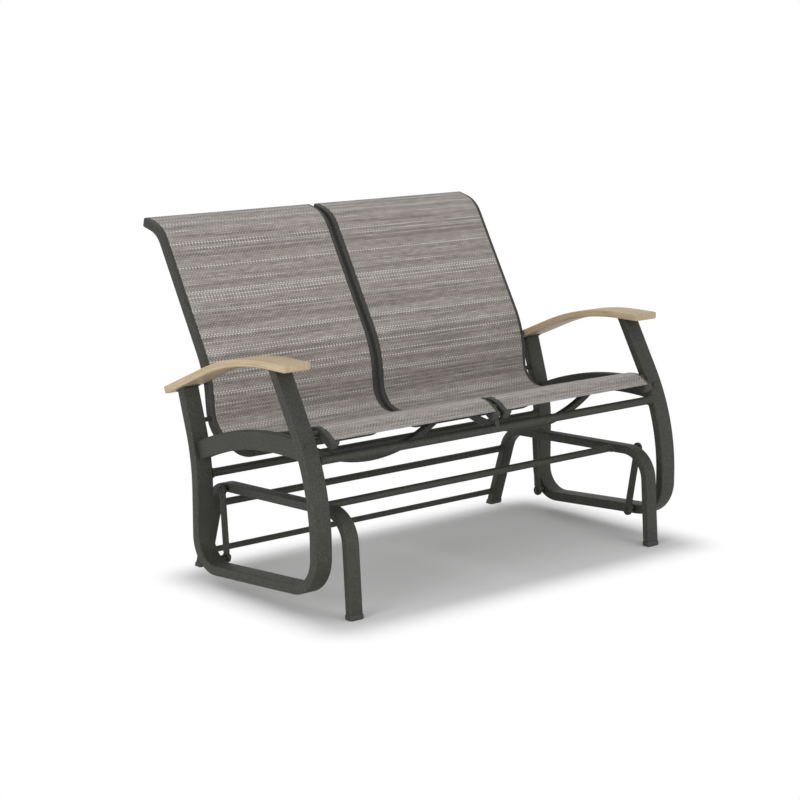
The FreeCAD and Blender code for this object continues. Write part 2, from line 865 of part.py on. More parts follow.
def build_rail_cap(name, which, side, end):
    body = new_body(name)
    middle, groove = rail_place(which, side)
    near, far = (line_corners[0], line_corners[1]) if end == "top" else (line_corners[-1], line_corners[-2])
    run = unit(far, near)
    length = size("rail_cap_length")
    inner_spot = (near[0] + run[0] * gap, near[1] + run[1] * gap)
    outer_spot = (near[0] + run[0] * length, near[1] + run[1] * length)
    path = sketch_on(body, "YZ_Plane")
    ends = [outer_spot, inner_spot] if end == "top" else [inner_spot, outer_spot]
    edges = bent_line(path, ends, [])
    section = end_sketch(body, path, half_turn=True)
    box_outline(section, rail, rail, middle=(0.0, rail / 2))
    plug = sweep(body, path, edges, section)
    tip = FreeCAD.Vector(0, outer_spot[0].value, outer_spot[1].value)
    axis = FreeCAD.Vector(0, run[0].value, run[1].value)
    bevel(body, plug, size("rail_cap_edge"),
          lambda edge: all(abs((spot.Point - tip).dot(axis)) < 0.01 for spot in edge.Vertexes))
    place(body, middle)
    return body


# spreaders that hold the sling rails apart
spreader_size = size("spreader_size")
spreader_depth = rail / 2 + size("spreader_sink")
seat_half = (rail_outer_x - rail - (size("rail_gap") / 2 + rail)) / 2
seat_middle = (rail_outer_x - rail + (size("rail_gap") / 2 + rail)) / 2


def build_spreader(name, corners, radii):
    body = new_body(name)
    bent_box_tube(body, "XZ_Plane", corners, radii, spreader_size, spreader_size, size("spreader_wall"))
    trim = sketch_on(body, "XZ_Plane")
    for step in (-1, 1):
        box_outline(trim, spreader_size * 4, spreader_size * 12,
                    middle=((seat_half - gap + spreader_size * 2) * step, 0.0))
    pocket(body, trim, spreader_size * 2)
    return body


def bowed(depth, shoulder=None):
    # ends reach past the rails, where they are cut square
    beyond = spreader_size
    run = shoulder or seat_half
    rise = beyond * depth / run
    low = [(as_size(0.0), -depth)] if shoulder is None else [
        (shoulder - seat_half, -depth), (seat_half - shoulder, -depth)]
    return [(-seat_half - beyond, rise)] + low + [(seat_half + beyond, rise)]


def under_seat(y):
    # height of the rails' middle under the straight part of the seat
    start, end = line_corners[3], line_corners[4]
    slope = (end[1] - start[1]) / (end[0] - start[0])
    return along(start, end, y) - spreader_depth * root(slope * slope + 1.0)


def build_spreaders(side_name, side):
    front = build_spreader(f"front_spreader_{side_name}", bowed(size("front_spreader_drop")),
                           [size("front_spreader_radius")])
    place(front, seat_middle * side, size("front_spreader_y"), under_seat(size("front_spreader_y")))
    flat_bow = bowed(size("rear_spreader_drop"), size("rear_spreader_shoulder"))
    flat_radii = [size("rear_spreader_radius"), size("rear_spreader_radius")]
    rear = build_spreader(f"rear_spreader_{side_name}", flat_bow, flat_radii)
    place(rear, seat_middle * side, size("rear_spreader_y"), under_seat(size("rear_spreader_y")))
    back = build_spreader(f"back_spreader_{side_name}", flat_bow, flat_radii)
    height = size("back_spreader_z")
    low, high = line_corners[2], line_corners[1]
    lean = (high[0] - low[0]) / (high[1] - low[1])
    angle = Size(f"(90 - atan({lean.text}) / 1 deg)", 90 - math.degrees(math.atan(lean.value)))
    back.Placement.Rotation = FreeCAD.Rotation(FreeCAD.Vector(1, 0, 0), angle.value)
    bind(back, "Placement.Rotation.Angle", angle)
    place(back, seat_middle * side, across(low, high, height) + spreader_depth * root(lean * lean + 1.0), height)
    return front, rear, back


# bracket between the two middle sling rails, which stands on the front round rail
def build_bracket(name, rail_spot, top):
    body = new_body(name)
    thickness = size("rail_gap") - gap * 2
    foot = size("bracket_foot") / 2
    head = size("bracket_head") / 2
    sketch = sketch_on(body, "YZ_Plane")
    outline(sketch, [
        (rail_spot[0] - foot, rail_spot[1], None), (rail_spot[0] + foot, rail_spot[1], None),
        (top[0] + head, top[1] + head, None), (top[0] - head, top[1] + head, None)])
    pad(body, sketch, thickness)
    saddle = sketch_on(body, "YZ_Plane")
    circle_outline(saddle, rail_spot, size("seat_rail_diameter") + gap * 2)
    pocket(body, saddle, thickness * 2)
    place(body)
    return body


# hanging links
def build_link(name, high, low, side, low_clearance):
    # plate with a round eye at each end
    body = new_body(name)
    run = unit(low, high)
    eye = size("link_eye") / 2
    half = size("link_bar_width") / 2
    neck = root(eye * eye - half * half)

    def spot(middle, ahead, aside):
        return middle[0] + run[0] * ahead - run[1] * aside, middle[1] + run[1] * ahead + run[0] * aside

    plate = sketch_on(body, "YZ_Plane")
    outline(plate, [
        (*spot(high, -neck, -half), None), (*spot(high, eye, 0.0), eye), (*spot(high, -neck, half), eye),
        (*spot(low, neck, half), None), (*spot(low, -eye, 0.0), eye), (*spot(low, neck, -half), eye)])
    circle_outline(plate, high, pivot + size("pivot_clearance") * 2)
    circle_outline(plate, low, pivot + low_clearance * 2)
    pad(body, plate, size("link_thickness"))
    place(body, link_x * side)
    return body


keep(build_stretcher("front_stretcher", size("stretcher_diameter"), size("front_stretcher_y"),
                     on_base_rail(size("front_stretcher_y"))))
for level, diameter in (("upper", size("stretcher_diameter")), ("lower", size("lower_stretcher_diameter"))):
    height = size(f"rear_{level}_stretcher_z")
    y = across(base_corners["rear_foot"], base_corners["rear_top"], height)
    keep(build_stretcher(f"rear_{level}_stretcher", diameter, y, height))
for end in ("front", "rear"):
    foot, top = base_corners[f"{end}_foot"], base_corners[f"{end}_top"]
    keep(group(f"{end}_feet", [build_foot(f"{end}_foot_{name}", foot, top, side) for name, side in sides]))
for name, side in sides:
    keep(build_base_frame(f"base_frame_{name}", side))
    keep(build_side_frame(f"side_frame_{name}", side))
    keep(build_arm(f"arm_{name}", side))
    keep(build_brace(f"side_brace_{name}", side))
build_bolt_set("base", base_outer, 1, {"front": front_pivot_top, "rear": rear_pivot_top})
build_bolt_set("seat", side_inner, -1, {"front": front_pivot_low, "rear": rear_pivot_low})
for end, high, low in (("front", front_pivot_top, front_pivot_low), ("rear", rear_pivot_top, rear_pivot_low)):
    free = size("open_pivot_clearance") if end == "front" else size("pivot_clearance")
    for name, side in sides:
        keep(build_link(f"{end}_link_{name}", high, low, side, free))

post_half = side_depth / 2
front_saddles, rear_saddles = [], []
for name, side in sides:
    y = side_front_top[0]
    front_saddles.append(build_saddle(
        f"front_saddle_{name}", y - post_half - size("front_saddle_nose"), y + post_half + size("front_saddle_tail"),
        lambda y, distance: size("arm_top") - distance, side))
    y = side_rear_top[0]
    rear_saddles.append(build_saddle(
        f"rear_saddle_{name}", y - post_half - size("rear_saddle_nose"), y + post_half + size("rear_saddle_tail"),
        below_arm, side))
keep(group("front_arm_saddles", front_saddles))
keep(group("rear_arm_saddles", rear_saddles))
keep(build_seat_rail("front_seat_rail", size("front_rail_y"), size("front_rail_z")))
keep(build_seat_rail("rear_seat_rail", size("rear_rail_y"), size("rear_rail_z")))

caps, spacers = [], []
for name, side in sides:
    keep(build_sling(f"sling_{name}", side))
    for which in ("outer", "inner"):
        keep(build_sling_rail(f"{which}_sling_rail_{name}", which, side))
        for end in ("top", "front"):
            caps.append(build_rail_cap(f"{which}_{end}_cap_{name}", which, side, end))
    for spreader in build_spreaders(name, side):
        keep(spreader)
    for end, spot in (("front", front_spacer), ("rear", rear_spacer)):
        low = rail_outer_x + gap
        spacer = hexagon(f"{end}_rail_spacer_{name}", size("spacer_width"), side_inner - gap - low)
        spacers.append(lay_along_x(spacer, low, spot, side))
keep(group("rail_end_caps", caps))
keep(group("rail_spacers", spacers))
keep(build_bracket("front_middle_bracket", (size("front_rail_y"), size("front_rail_z")), front_bracket_top))

doc.recompute()
faults = [item.Label for item in doc.Objects if "Invalid" in item.State or "Error" in item.State]
for label, node in nodes.items():
    if label in faults or node.Shape.isNull() or not node.Shape.isValid():
        faults.append(label)
if faults:
    raise RuntimeError(f"failed pieces: {sorted(set(faults))}")

os.makedirs("parts", exist_ok=True)
for label, node in nodes.items():
    node.Shape.exportStep(f"parts/{label}.step")
    print(f"{label}: {len(node.Shape.Solids)} solids, {node.Shape.Volume / 1000:.1f} cm3")
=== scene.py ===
import math
from contextlib import contextmanager

import bmesh
import bpy
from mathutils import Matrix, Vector


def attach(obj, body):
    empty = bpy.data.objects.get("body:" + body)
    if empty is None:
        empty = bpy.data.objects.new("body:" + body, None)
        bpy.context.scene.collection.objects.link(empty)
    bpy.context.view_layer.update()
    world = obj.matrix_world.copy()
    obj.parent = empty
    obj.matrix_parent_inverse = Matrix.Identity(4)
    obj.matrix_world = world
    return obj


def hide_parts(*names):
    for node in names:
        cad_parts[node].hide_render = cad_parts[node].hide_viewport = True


# Two-seat glider bench: bent-tube side frames with wood-look arms, woven slings, and a low base with hanging links.
# Sizes are in millimetres and become metres when a mesh is made. X runs along the seat, Y to the back, Z up.

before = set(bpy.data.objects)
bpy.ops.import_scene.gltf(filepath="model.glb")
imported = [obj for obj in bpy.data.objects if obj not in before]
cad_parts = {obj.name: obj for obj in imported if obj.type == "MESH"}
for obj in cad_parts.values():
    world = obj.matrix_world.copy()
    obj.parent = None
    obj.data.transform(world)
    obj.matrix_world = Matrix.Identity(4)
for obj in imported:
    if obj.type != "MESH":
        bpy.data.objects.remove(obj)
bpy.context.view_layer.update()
mm = 0.001
mergeDistance = 0.005 * mm
alongX = Vector((1, 0, 0))
ends = (("left", -1), ("right", 1))
print("stage: frame loaded,", len(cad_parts), "nodes")


# small helpers

def toLinear(hexColour):
    # sRGB hex to the linear colour that Blender works in
    parts = [int(hexColour[i:i + 2], 16) / 255 for i in (1, 3, 5)]
    return [p / 12.92 if p <= 0.04045 else ((p + 0.055) / 1.055) ** 2.4 for p in parts] + [1.0]


def setInputs(tree, node, values):
    # an input takes a value, another node's output, or another node for its first output
    for name, value in values.items():
        if isinstance(value, bpy.types.Node):
            value = value.outputs[0]
        if isinstance(value, bpy.types.NodeSocket):
            tree.links.new(value, node.inputs[name])
        else:
            node.inputs[name].default_value = value


def addNode(tree, kind, inputs=None, settings=None):
    node = tree.nodes.new(kind)
    for name, value in (settings or {}).items():
        setattr(node, name, value)
    setInputs(tree, node, inputs or {})
    return node


def newMaterial(name):
    material = bpy.data.materials.new(name)
    material.use_nodes = True
    tree = material.node_tree
    return material, tree, next(n for n in tree.nodes if n.type == "BSDF_PRINCIPLED")


def colourRamp(tree, factor, stops):
    ramp = addNode(tree, "ShaderNodeValToRGB", {"Fac": factor})
    elements = ramp.color_ramp.elements
    while len(elements) < len(stops):
        elements.new(0.5)
    for element, (spot, colour) in zip(elements, stops):
        element.position = spot
        element.color = toLinear(colour)
    return ramp


def putInScene(name, data):
    thing = bpy.data.objects.new(name, data)
    bpy.context.scene.collection.objects.link(thing)
    return thing


def smoothFaces(mesh, angle=32.0):
    mesh.polygons.foreach_set("use_smooth", [True] * len(mesh.polygons))
    mesh.set_sharp_from_angle(angle=math.radians(angle))
    mesh.update()


@contextmanager
def editing(mesh):
    work = bmesh.new()
    work.from_mesh(mesh)
    yield work
    work.to_mesh(mesh)
    work.free()


def mendMesh(mesh, merge=True):
    # join points that coincide, and turn every face outwards
    with editing(mesh) as work:
        if merge:
            bmesh.ops.remove_doubles(work, verts=work.verts, dist=mergeDistance)
        bmesh.ops.recalc_face_normals(work, faces=work.faces)


def meshFrom(name, points, faces, material):
    # points in millimetres
    mesh = bpy.data.meshes.new(name)
    mesh.from_pydata([Vector(p) * mm for p in points], [], faces)
    mendMesh(mesh)
    mesh.materials.append(material)
    smoothFaces(mesh)
    return putInScene(name, mesh)


def ringFaces(rings, count, closed=False):
    # faces between rings of points, then one over each end, unless the last ring joins the first
    faces = []
    for i in range(rings if closed else rings - 1):
        k = (i + 1) % rings
        faces += [(i * count + j, i * count + n, k * count + n, k * count + j)
                  for j, n in zip(range(count), (*range(1, count), 0))]
    return faces if closed else faces + [list(range(count)), list(range((rings - 1) * count, rings * count))]


def ringSolid(name, rings, material):
    return meshFrom(name, [point for ring in rings for point in ring], ringFaces(len(rings), len(rings[0])), material)


def joinMeshes(name, pieces):
    # several parts of one piece, all of one material, in one mesh
    work = bmesh.new()
    for piece in pieces:
        work.from_mesh(piece.data)
    mesh = bpy.data.meshes.new(name)
    work.to_mesh(mesh)
    work.free()
    mesh.materials.append(pieces[0].data.materials[0])
    for piece in pieces:
        bpy.data.objects.remove(piece)
    smoothFaces(mesh)
    return putInScene(name, mesh)


def cutFlat(piece, point, normal):
    # take off what lies beyond the plane, and close the cut
    with editing(piece.data) as work:
        found = bmesh.ops.bisect_plane(
            work, geom=work.verts[:] + work.edges[:] + work.faces[:], dist=0.002 * mm,
            plane_co=Vector(point) * mm, plane_no=Vector(normal), clear_outer=True)
        edges = [e for e in found["geom_cut"] if isinstance(e, bmesh.types.BMEdge)]
        bmesh.ops.holes_fill(work, edges=edges)
        bmesh.ops.recalc_face_normals(work, faces=work.faces)
    smoothFaces(piece.data)


def bentLine(corners, radii, turn=3.0):
    # points along straight runs through the corners, with round bends
    points = [Vector(c) for c in corners]
    line = [points[0]]
    for before, corner, after, radius in zip(points, points[1:], points[2:], radii):
        back = (before - corner).normalized()
        ahead = (after - corner).normalized()
        half = back.angle(ahead) / 2
        reach = radius / math.tan(half)
        middle = corner + (back + ahead).normalized() * (radius / math.sin(half))
        first = corner + back * reach - middle
        last = corner + ahead * reach - middle
        swing = first.angle(last)
        steps = max(2, math.ceil(math.degrees(swing) / turn))
        for step in range(steps + 1):
            share = step / steps
            spot = first * math.sin((1 - share) * swing) + last * math.sin(share * swing)
            line.append(middle + spot / math.sin(swing))
    line.append(points[-1])
    return line


def alongLine(line):
    # distance from the start, and the direction, at each point
    run = [0.0]
    for a, b in zip(line, line[1:]):
        run.append(run[-1] + (b - a).length)
    directions = []
    for i in range(len(line)):
        before = (line[i] - line[i - 1]).normalized() if i else (line[1] - line[0]).normalized()
        after = (line[i + 1] - line[i]).normalized() if i < len(line) - 1 else before
        directions.append((before + after).normalized())
    return run, directions


def placed(section, spot, direction):
    # a section, drawn as (sideways, away from the line), at a spot on a line that lies square to X
    away = direction.cross(alongX)
    return [spot + alongX * a + away * b for a, b in section]


def sweepSection(name, section, line, material):
    _, directions = alongLine(line)
    return ringSolid(name, [placed(section, *item) for item in zip(line, directions)], material)


def roundedBox(width, height, radius, steps=4, middle=(0.0, 0.0)):
    # outline of a rounded rectangle
    outline = []
    for i, (x, y) in enumerate(((1, 1), (-1, 1), (-1, -1), (1, -1))):
        for step in range(steps + 1):
            angle = math.radians(90 * i + 90 * step / steps)
            outline.append((middle[0] + x * (width / 2 - radius) + radius * math.cos(angle),
                            middle[1] + y * (height / 2 - radius) + radius * math.sin(angle)))
    return outline


def lathe(name, profile, spot, material, count=40, side=1):
    # a closed profile of (x, radius), turned about the X line through the spot
    x, y, z = spot
    points = []
    for turn in (2 * math.pi * i / count for i in range(count)):
        points += [(x + a * side, y + radius * math.cos(turn), z + radius * math.sin(turn)) for a, radius in profile]
    return meshFrom(name, points, ringFaces(count, len(profile), closed=True), material)


def mount(piece, body, slot, *nodes):
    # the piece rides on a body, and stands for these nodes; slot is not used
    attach(piece, body)
    if nodes:
        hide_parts(*nodes)


# materials

def mixColours(tree, factor, first, second):
    # the colour sockets of a Mix node are its seventh and eighth inputs
    return addNode(tree, "ShaderNodeMix", {0: factor, 6: first, 7: second}, {"data_type": "RGBA"}).outputs[2]


def calculate(tree, operation, *values):
    return addNode(tree, "ShaderNodeMath", dict(enumerate(values)), {"operation": operation})


def objectPlace(tree):
    return addNode(tree, "ShaderNodeTexCoord").outputs["Object"]


def noiseOf(tree, place, size, detail, roughness=0.5, distortion=0.0):
    # size in millimetres
    return addNode(tree, "ShaderNodeTexNoise", {
        "Vector": place, "Scale": 1 / (size * mm), "Detail": detail, "Roughness": roughness,
        "Distortion": distortion}).outputs["Fac"]


def ranged(tree, value, low, high, first, last):
    return addNode(tree, "ShaderNodeMapRange", {
        "Value": value, "From Min": low, "From Max": high, "To Min": first, "To Max": last})


def roughened(tree, height, depth, strength):
    # depth in millimetres
    return addNode(tree, "ShaderNodeBump", {"Height": height, "Distance": depth * mm, "Strength": strength})


def makePowderCoat(name, dark, middle, light):
    # polyester powder sprayed and baked on tube: satin, with a fine leathery grit that breaks up the highlights
    grain = {"grit": 2.3, "cloud": 45.0, "depth": 0.22}
    material, tree, shader = newMaterial(name)
    place = objectPlace(tree)
    fine = noiseOf(tree, place, grain["grit"], 3.0, 0.65)
    wide = noiseOf(tree, place, grain["cloud"], 4.0, 0.55)
    speck = colourRamp(tree, fine, ((0.34, dark), (0.50, middle), (0.68, light)))
    cloud = colourRamp(tree, wide, ((0.32, dark), (0.50, middle), (0.72, light)))
    setInputs(tree, shader, {
        "Base Color": mixColours(tree, 0.12, speck, cloud), "Roughness": ranged(tree, fine, 0.3, 0.7, 0.72, 0.50),
        "IOR": 1.5, "Specular IOR Level": 0.36, "Normal": roughened(tree, fine, grain["depth"], 0.7)})
    return material


def makeMouldedPlastic(name, dark, light):
    # injection-moulded nylon or polyethylene: even colour, soft sheen, a faint spark-eroded skin
    grain = {"skin": 0.9, "depth": 0.05}
    material, tree, shader = newMaterial(name)
    skin = noiseOf(tree, objectPlace(tree), grain["skin"], 2.0)
    setInputs(tree, shader, {
        "Base Color": colourRamp(tree, skin, ((0.35, dark), (0.70, light))), "Roughness": 0.52, "IOR": 1.5,
        "Normal": roughened(tree, skin, grain["depth"], 0.4)})
    return material


def makeBoltSteel():
    # black-passivated zinc on steel: dark, half-gloss, with a little rub on it
    grain = {"rub": 3.0}
    material, tree, shader = newMaterial("blackZincSteel")
    rub = noiseOf(tree, objectPlace(tree), grain["rub"], 4.0)
    tone = colourRamp(tree, rub, ((0.35, "#34332f"), (0.62, "#45443e"), (0.80, "#6a6960")))
    setInputs(tree, shader, {"Base Color": tone, "Metallic": 0.7, "Roughness": 0.42})
    return material


def makeWoodLook():
    # foamed polymer board, extruded and brushed to look like weathered teak: flat tan, faint grain along its length
    grain = {"lineWidth": 4.2, "lineLength": 190.0, "cloud": 55.0, "depth": 0.18}
    material, tree, shader = newMaterial("woodLookBoard")
    # boardPlace is the distance around the board's section and the distance along its bent length
    place = addNode(tree, "ShaderNodeUVMap", settings={"uv_map": "boardPlace"})
    stretch = addNode(tree, "ShaderNodeMapping", {
        "Vector": place, "Scale": (1 / grain["lineWidth"], 1 / grain["lineLength"], 1.0)})
    lines = noiseOf(tree, stretch, 1.0, 5.0, 0.62, 0.25)
    cloud = noiseOf(tree, place, grain["cloud"], 3.0)
    tone = colourRamp(tree, lines, ((0.30, "#8c7759"), (0.48, "#ae9a7c"), (0.66, "#c6b595")))
    wash = colourRamp(tree, cloud, ((0.30, "#a28e71"), (0.70, "#b8a484")))
    setInputs(tree, shader, {"Base Color": mixColours(tree, 0.35, tone, wash), "Roughness": 0.50, "IOR": 1.48,
                             "Normal": roughened(tree, lines, grain["depth"], 0.45)})
    return material


def makeSlingWeave(name, tones):
    # vinyl-coated polyester yarn, woven open and tight: rows of warm grey yarns run across the seat, crossed by thin
    # threads that show as dotted lines, pale on some rows and dark on others; the dark between the yarns is painted
    # shade
    material, tree, shader = newMaterial(name)
    # rows and threads are drawn at about three times their real spacing, or they would be lost in the render
    weave = {"row": 5.2, "thread": 9.8, "streak": 34.0, "drift": 170.0, "band": 24.0, "bandLength": 260.0,
             "waver": 2.0, "waverLength": 70.0, "depth": 0.45}
    place = addNode(tree, "ShaderNodeUVMap", settings={"uv_map": "clothPlace"})
    across, along, _ = addNode(tree, "ShaderNodeSeparateXYZ", {"Vector": place}).outputs

    def take(operation, *values):
        return calculate(tree, operation, *values)

    def noise(x, y, z, detail):
        # its place is a plain number already, so its scale is one
        return noiseOf(tree, addNode(tree, "ShaderNodeCombineXYZ", {"X": x, "Y": y, "Z": z}), 1 / mm, detail, 0.6)

    # yarns waver a little, so rows are never quite straight
    waver = noiseOf(tree, place, weave["waverLength"], 2.0)
    rowPlace = take("DIVIDE", take("MULTIPLY_ADD", waver, weave["waver"] * mm, along), weave["row"] * mm)
    row = take("FLOOR", rowPlace)
    inRow = take("FRACT", rowPlace)
    shift = take("MULTIPLY", take("FLOORED_MODULO", row, 2.0), 0.5)
    inThread = take("FRACT", take("MULTIPLY_ADD", across, 1 / (weave["thread"] * mm), shift))
    rowKind = addNode(tree, "ShaderNodeTexWhiteNoise", {"W": row}, {"noise_dimensions": "1D"}).outputs["Value"]

    # tone that runs along each row by itself, and neighbouring rows of one tone that make soft bands
    ownRow = take("MULTIPLY", row, 7.31)
    short = noise(take("DIVIDE", across, weave["streak"] * mm), ownRow, 0.0, 2.0)
    long = noise(take("DIVIDE", across, weave["drift"] * mm), ownRow, 5.2, 1.0)
    band = noise(take("DIVIDE", across, weave["bandLength"] * mm), take("DIVIDE", along, weave["band"] * mm), 3.7, 2.0)
    mixed = take("MULTIPLY", short, 0.52)
    for value, share in ((long, 0.22), (band, 0.18), (rowKind, 0.08)):
        mixed = take("MULTIPLY_ADD", value, share, mixed)
    yarn = colourRamp(tree, mixed, tuple(zip((0.36, 0.44, 0.51, 0.58, 0.66), tones["yarn"])))

    # each yarn is round, and dips where a thread crosses it
    rowArch = take("SINE", take("MULTIPLY", inRow, math.pi))
    threadArch = take("SINE", take("MULTIPLY", inThread, math.pi))
    height = take("SQRT", take("MULTIPLY", rowArch, threadArch))
    # crossings are pale on some rows and dark on others, the dark ones in the gap colour of painted shade; between pale
    # crossings the row is a little darker, mixed toward that painted shade
    # the gap colour is painted shade: the dark seen between and under the yarns of the open weave
    gap, crown = toLinear(tones["gap"]), toLinear(tones["crown"])
    dip = take("MULTIPLY", ranged(tree, threadArch, 0.35, 0.85, 1.0, 0.0), take("POWER", rowArch, 0.8))
    kind = take("MULTIPLY_ADD", long, 0.45, take("MULTIPLY", rowKind, 0.55))
    pale = ranged(tree, kind, 0.61, 0.72, 0.0, 1.0)
    dark = ranged(tree, kind, 0.40, 0.34, 0.0, 1.0)
    crossing = mixColours(tree, pale, gap, crown)
    share = take("MULTIPLY_ADD", take("MAXIMUM", pale, dark), 0.36, 0.40)
    ground = mixColours(tree, take("MULTIPLY", pale, 0.30), yarn, gap)
    body = mixColours(tree, take("MULTIPLY", dip, share), ground, crossing)
    # painted shade where neighbouring rows meet, stronger on rows of dark crossings
    rowEdgeShade = take("MULTIPLY", ranged(tree, rowArch, 0.1, 0.7, 0.45, 0.0), ranged(tree, kind, 0.34, 0.44, 1.6, 1.0))
    setInputs(tree, shader, {
        "Base Color": mixColours(tree, rowEdgeShade, body, gap), "Roughness": 0.62, "IOR": 1.5, "Specular IOR Level": 0.35,
        "Sheen Weight": 0.05, "Normal": roughened(tree, height, weave["depth"], 0.6)})
    return material


powderCoat = makePowderCoat("powderCoatOliveGrey", "#1d1d19", "#31312c", "#4a4a43")
darkPlastic = makeMouldedPlastic("mouldedDarkPlastic", "#262521", "#33322e")
naturalNylon = makeMouldedPlastic("mouldedNylonBush", "#c9c5b8", "#dcd9cd")
boltSteel = makeBoltSteel()
woodLook = makeWoodLook()
# the gap tone is painted shade between the yarns, not a yarn colour
slingWeave = makeSlingWeave("wovenVinylYarn", {
    "yarn": ("#88817b", "#958e88", "#a09993", "#aba49f", "#b9b3ae"), "gap": "#474340", "crown": "#e6e2de"})
threadYarn = makeMouldedPlastic("bondedPolyesterThread", "#8f8982", "#a8a29b")
print("stage: materials")


# Geometry Nodes trees: a tree takes a source mesh, sizes and a finish, and gives its result that finish

def openTree(name, source, sizes, others=()):
    tree = bpy.data.node_groups.new(name, "GeometryNodeTree")
    tree.interface.new_socket("Geometry", in_out="OUTPUT", socket_type="NodeSocketGeometry")
    floats = [(size, "Float") for size in sizes]
    for label, kind in ((source, "Geometry"), *floats, *others, ("Finish", "Material")):
        tree.interface.new_socket(label, in_out="INPUT", socket_type="NodeSocket" + kind)
    return tree, addNode(tree, "NodeGroupInput").outputs


def closeTree(tree, given, geometry):
    whole = addNode(tree, "GeometryNodeRealizeInstances", {"Geometry": geometry})
    coated = addNode(tree, "GeometryNodeSetMaterial", {"Geometry": whole, "Material": given["Finish"]})
    addNode(tree, "NodeGroupOutput", {"Geometry": coated})
    return tree


def runTree(name, tree, source, finish, sizes, settings=()):
    # evaluate a tree on a source mesh, and keep the result as a plain mesh; sizes in millimetres
    holder = putInScene(name + "Source", source)
    modifier = holder.modifiers.new("tree", "NODES")
    modifier.node_group = tree
    names = {item.name: item.identifier for item in tree.interface.items_tree if item.in_out == "INPUT"}
    values = {label: size * mm for label, size in sizes.items()}
    for label, value in {**values, **dict(settings), "Finish": finish}.items():
        modifier[names[label]] = value
    bpy.context.view_layer.update()
    seen = holder.evaluated_get(bpy.context.evaluated_depsgraph_get())
    mesh = bpy.data.meshes.new_from_object(seen)
    mesh.name = name
    bpy.data.objects.remove(holder)
    mendMesh(mesh)
    smoothFaces(mesh)
    return putInScene(name, mesh)


# bent tubes: the corners of a run are rounded with their own radii, and a rounded box is carried along it

def makeTubeTree():
    tree, given = openTree("bentTube", "Run", ("Width", "Depth", "Corner Radius"), (
        ("Bend Steps", "Int"), ("Corner Steps", "Int"), ("Side Direction", "Vector")))
    run = addNode(tree, "GeometryNodeMeshToCurve", {"Mesh": given["Run"]})
    radius = addNode(tree, "GeometryNodeInputNamedAttribute", {"Name": "bendRadius"}, {"data_type": "FLOAT"})
    bent = addNode(tree, "GeometryNodeFilletCurve", {
        "Curve": run, "Count": given["Bend Steps"], "Radius": radius.outputs["Attribute"]}, {"mode": "POLY"})
    steady = addNode(tree, "GeometryNodeSetCurveNormal", {
        "Curve": bent, "Normal": given["Side Direction"]}, {"mode": "FREE"})
    block = addNode(tree, "GeometryNodeCurvePrimitiveQuadrilateral", {
        "Width": given["Width"], "Height": given["Depth"]}, {"mode": "RECTANGLE"})
    section = addNode(tree, "GeometryNodeFilletCurve", {
        "Curve": block, "Count": given["Corner Steps"], "Radius": given["Corner Radius"]}, {"mode": "POLY"})
    skin = addNode(tree, "GeometryNodeCurveToMesh", {"Curve": steady, "Profile Curve": section, "Fill Caps": True})
    return closeTree(tree, given, skin)


tubeTree = makeTubeTree()


def bentTube(name, corners, radii, width, depth, radius, sideways=(1, 0, 0), bendSteps=14):
    # corners and sizes in millimetres
    source = bpy.data.meshes.new(name + "Run")
    source.from_pydata([Vector(c) * mm for c in corners], [(i, i + 1) for i in range(len(corners) - 1)], [])
    rule = source.attributes.new("bendRadius", "FLOAT", "POINT")
    rule.data.foreach_set("value", [0.0] + [r * mm for r in radii] + [0.0])
    return runTree(name, tubeTree, source, powderCoat, {"Width": width, "Depth": depth, "Corner Radius": radius},
                   {"Bend Steps": bendSteps, "Corner Steps": 5, "Side Direction": tuple(sideways)})


def between(start, end, axis, value):
    # the point on a straight run where one coordinate has this value
    share = (value - start[axis]) / (end[axis] - start[axis])
    return Vector(start).lerp(Vector(end), share)


def endTube(name, shape, side, first, last, bendSteps=14):
    # the bent tube of a frame at one end of the bench, its own two ends drawn along their straights to these heights
    corners = [Vector((shape["middleX"] * side, y, z)) for y, z in shape["corners"]]
    corners = [between(corners[0], corners[1], 2, first), *corners[1:-1], between(corners[-1], corners[-2], 2, last)]
    return bentTube(name, corners, shape["bends"], shape["width"], shape["depth"], shape["edge"], bendSteps=bendSteps)


# base frames: inverted U tubes, and the round stretchers between them

base = {
    "middleX": 519.0, "width": 38.0, "depth": 22.0, "edge": 3.6,
    "corners": ((-403.0, 0.0), (-383.9, 254.5), (148.2, 233.2), (220.5, 0.0)), "bends": (76.0, 73.0),
    "soleHeight": 4.0, "spare": 15.0, "weldGap": 0.2, "roundShare": 0.999,
}
for name, side in ends:
    # drawn longer than needed, then cut level over the feet's soles
    tube = endTube("baseFrame." + name, base, side, -base["spare"], -base["spare"])
    cutFlat(tube, (0, 0, base["soleHeight"]), (0, 0, -1))
    mount(tube, "base", "frame_paint", "base_frame_" + name)

stretchers = {
    "front_stretcher": {"spot": (-267.0, 249.821), "across": 19.0},
    "rear_upper_stretcher": {"spot": (165.932, 176.0), "across": 19.0},
    "rear_lower_stretcher": {"spot": (207.787, 41.0), "across": 16.0},
}
reach = base["middleX"] - base["width"] / 2 - base["weldGap"]
# distance back from the frame, and height over the tube
weldBead = ((3.2, -0.2), (2.6, 0.7), (0.9, 2.0), (0.0, 2.3), (0.0, -0.2))
for node, bar in stretchers.items():
    y, z = bar["spot"]
    half = bar["across"] / 2
    run = [(-reach, y, z), (reach, y, z)]
    tube = bentTube(node.replace("_", "."), run, (), bar["across"], bar["across"], half * base["roundShare"],
                    sideways=(0, 1, 0))
    # a thin weld bead where the tube meets each base frame
    profile = [(reach - back, half + rise) for back, rise in weldBead]
    beads = [lathe("bead", profile, (0, y, z), powderCoat, side=side) for _, side in ends]
    mount(joinMeshes(tube.name + ".tube", [tube] + beads), "base", "frame_paint", node)
print("stage: base frames and stretchers")


# side frames: one bent tube each, with the arched brace between its posts

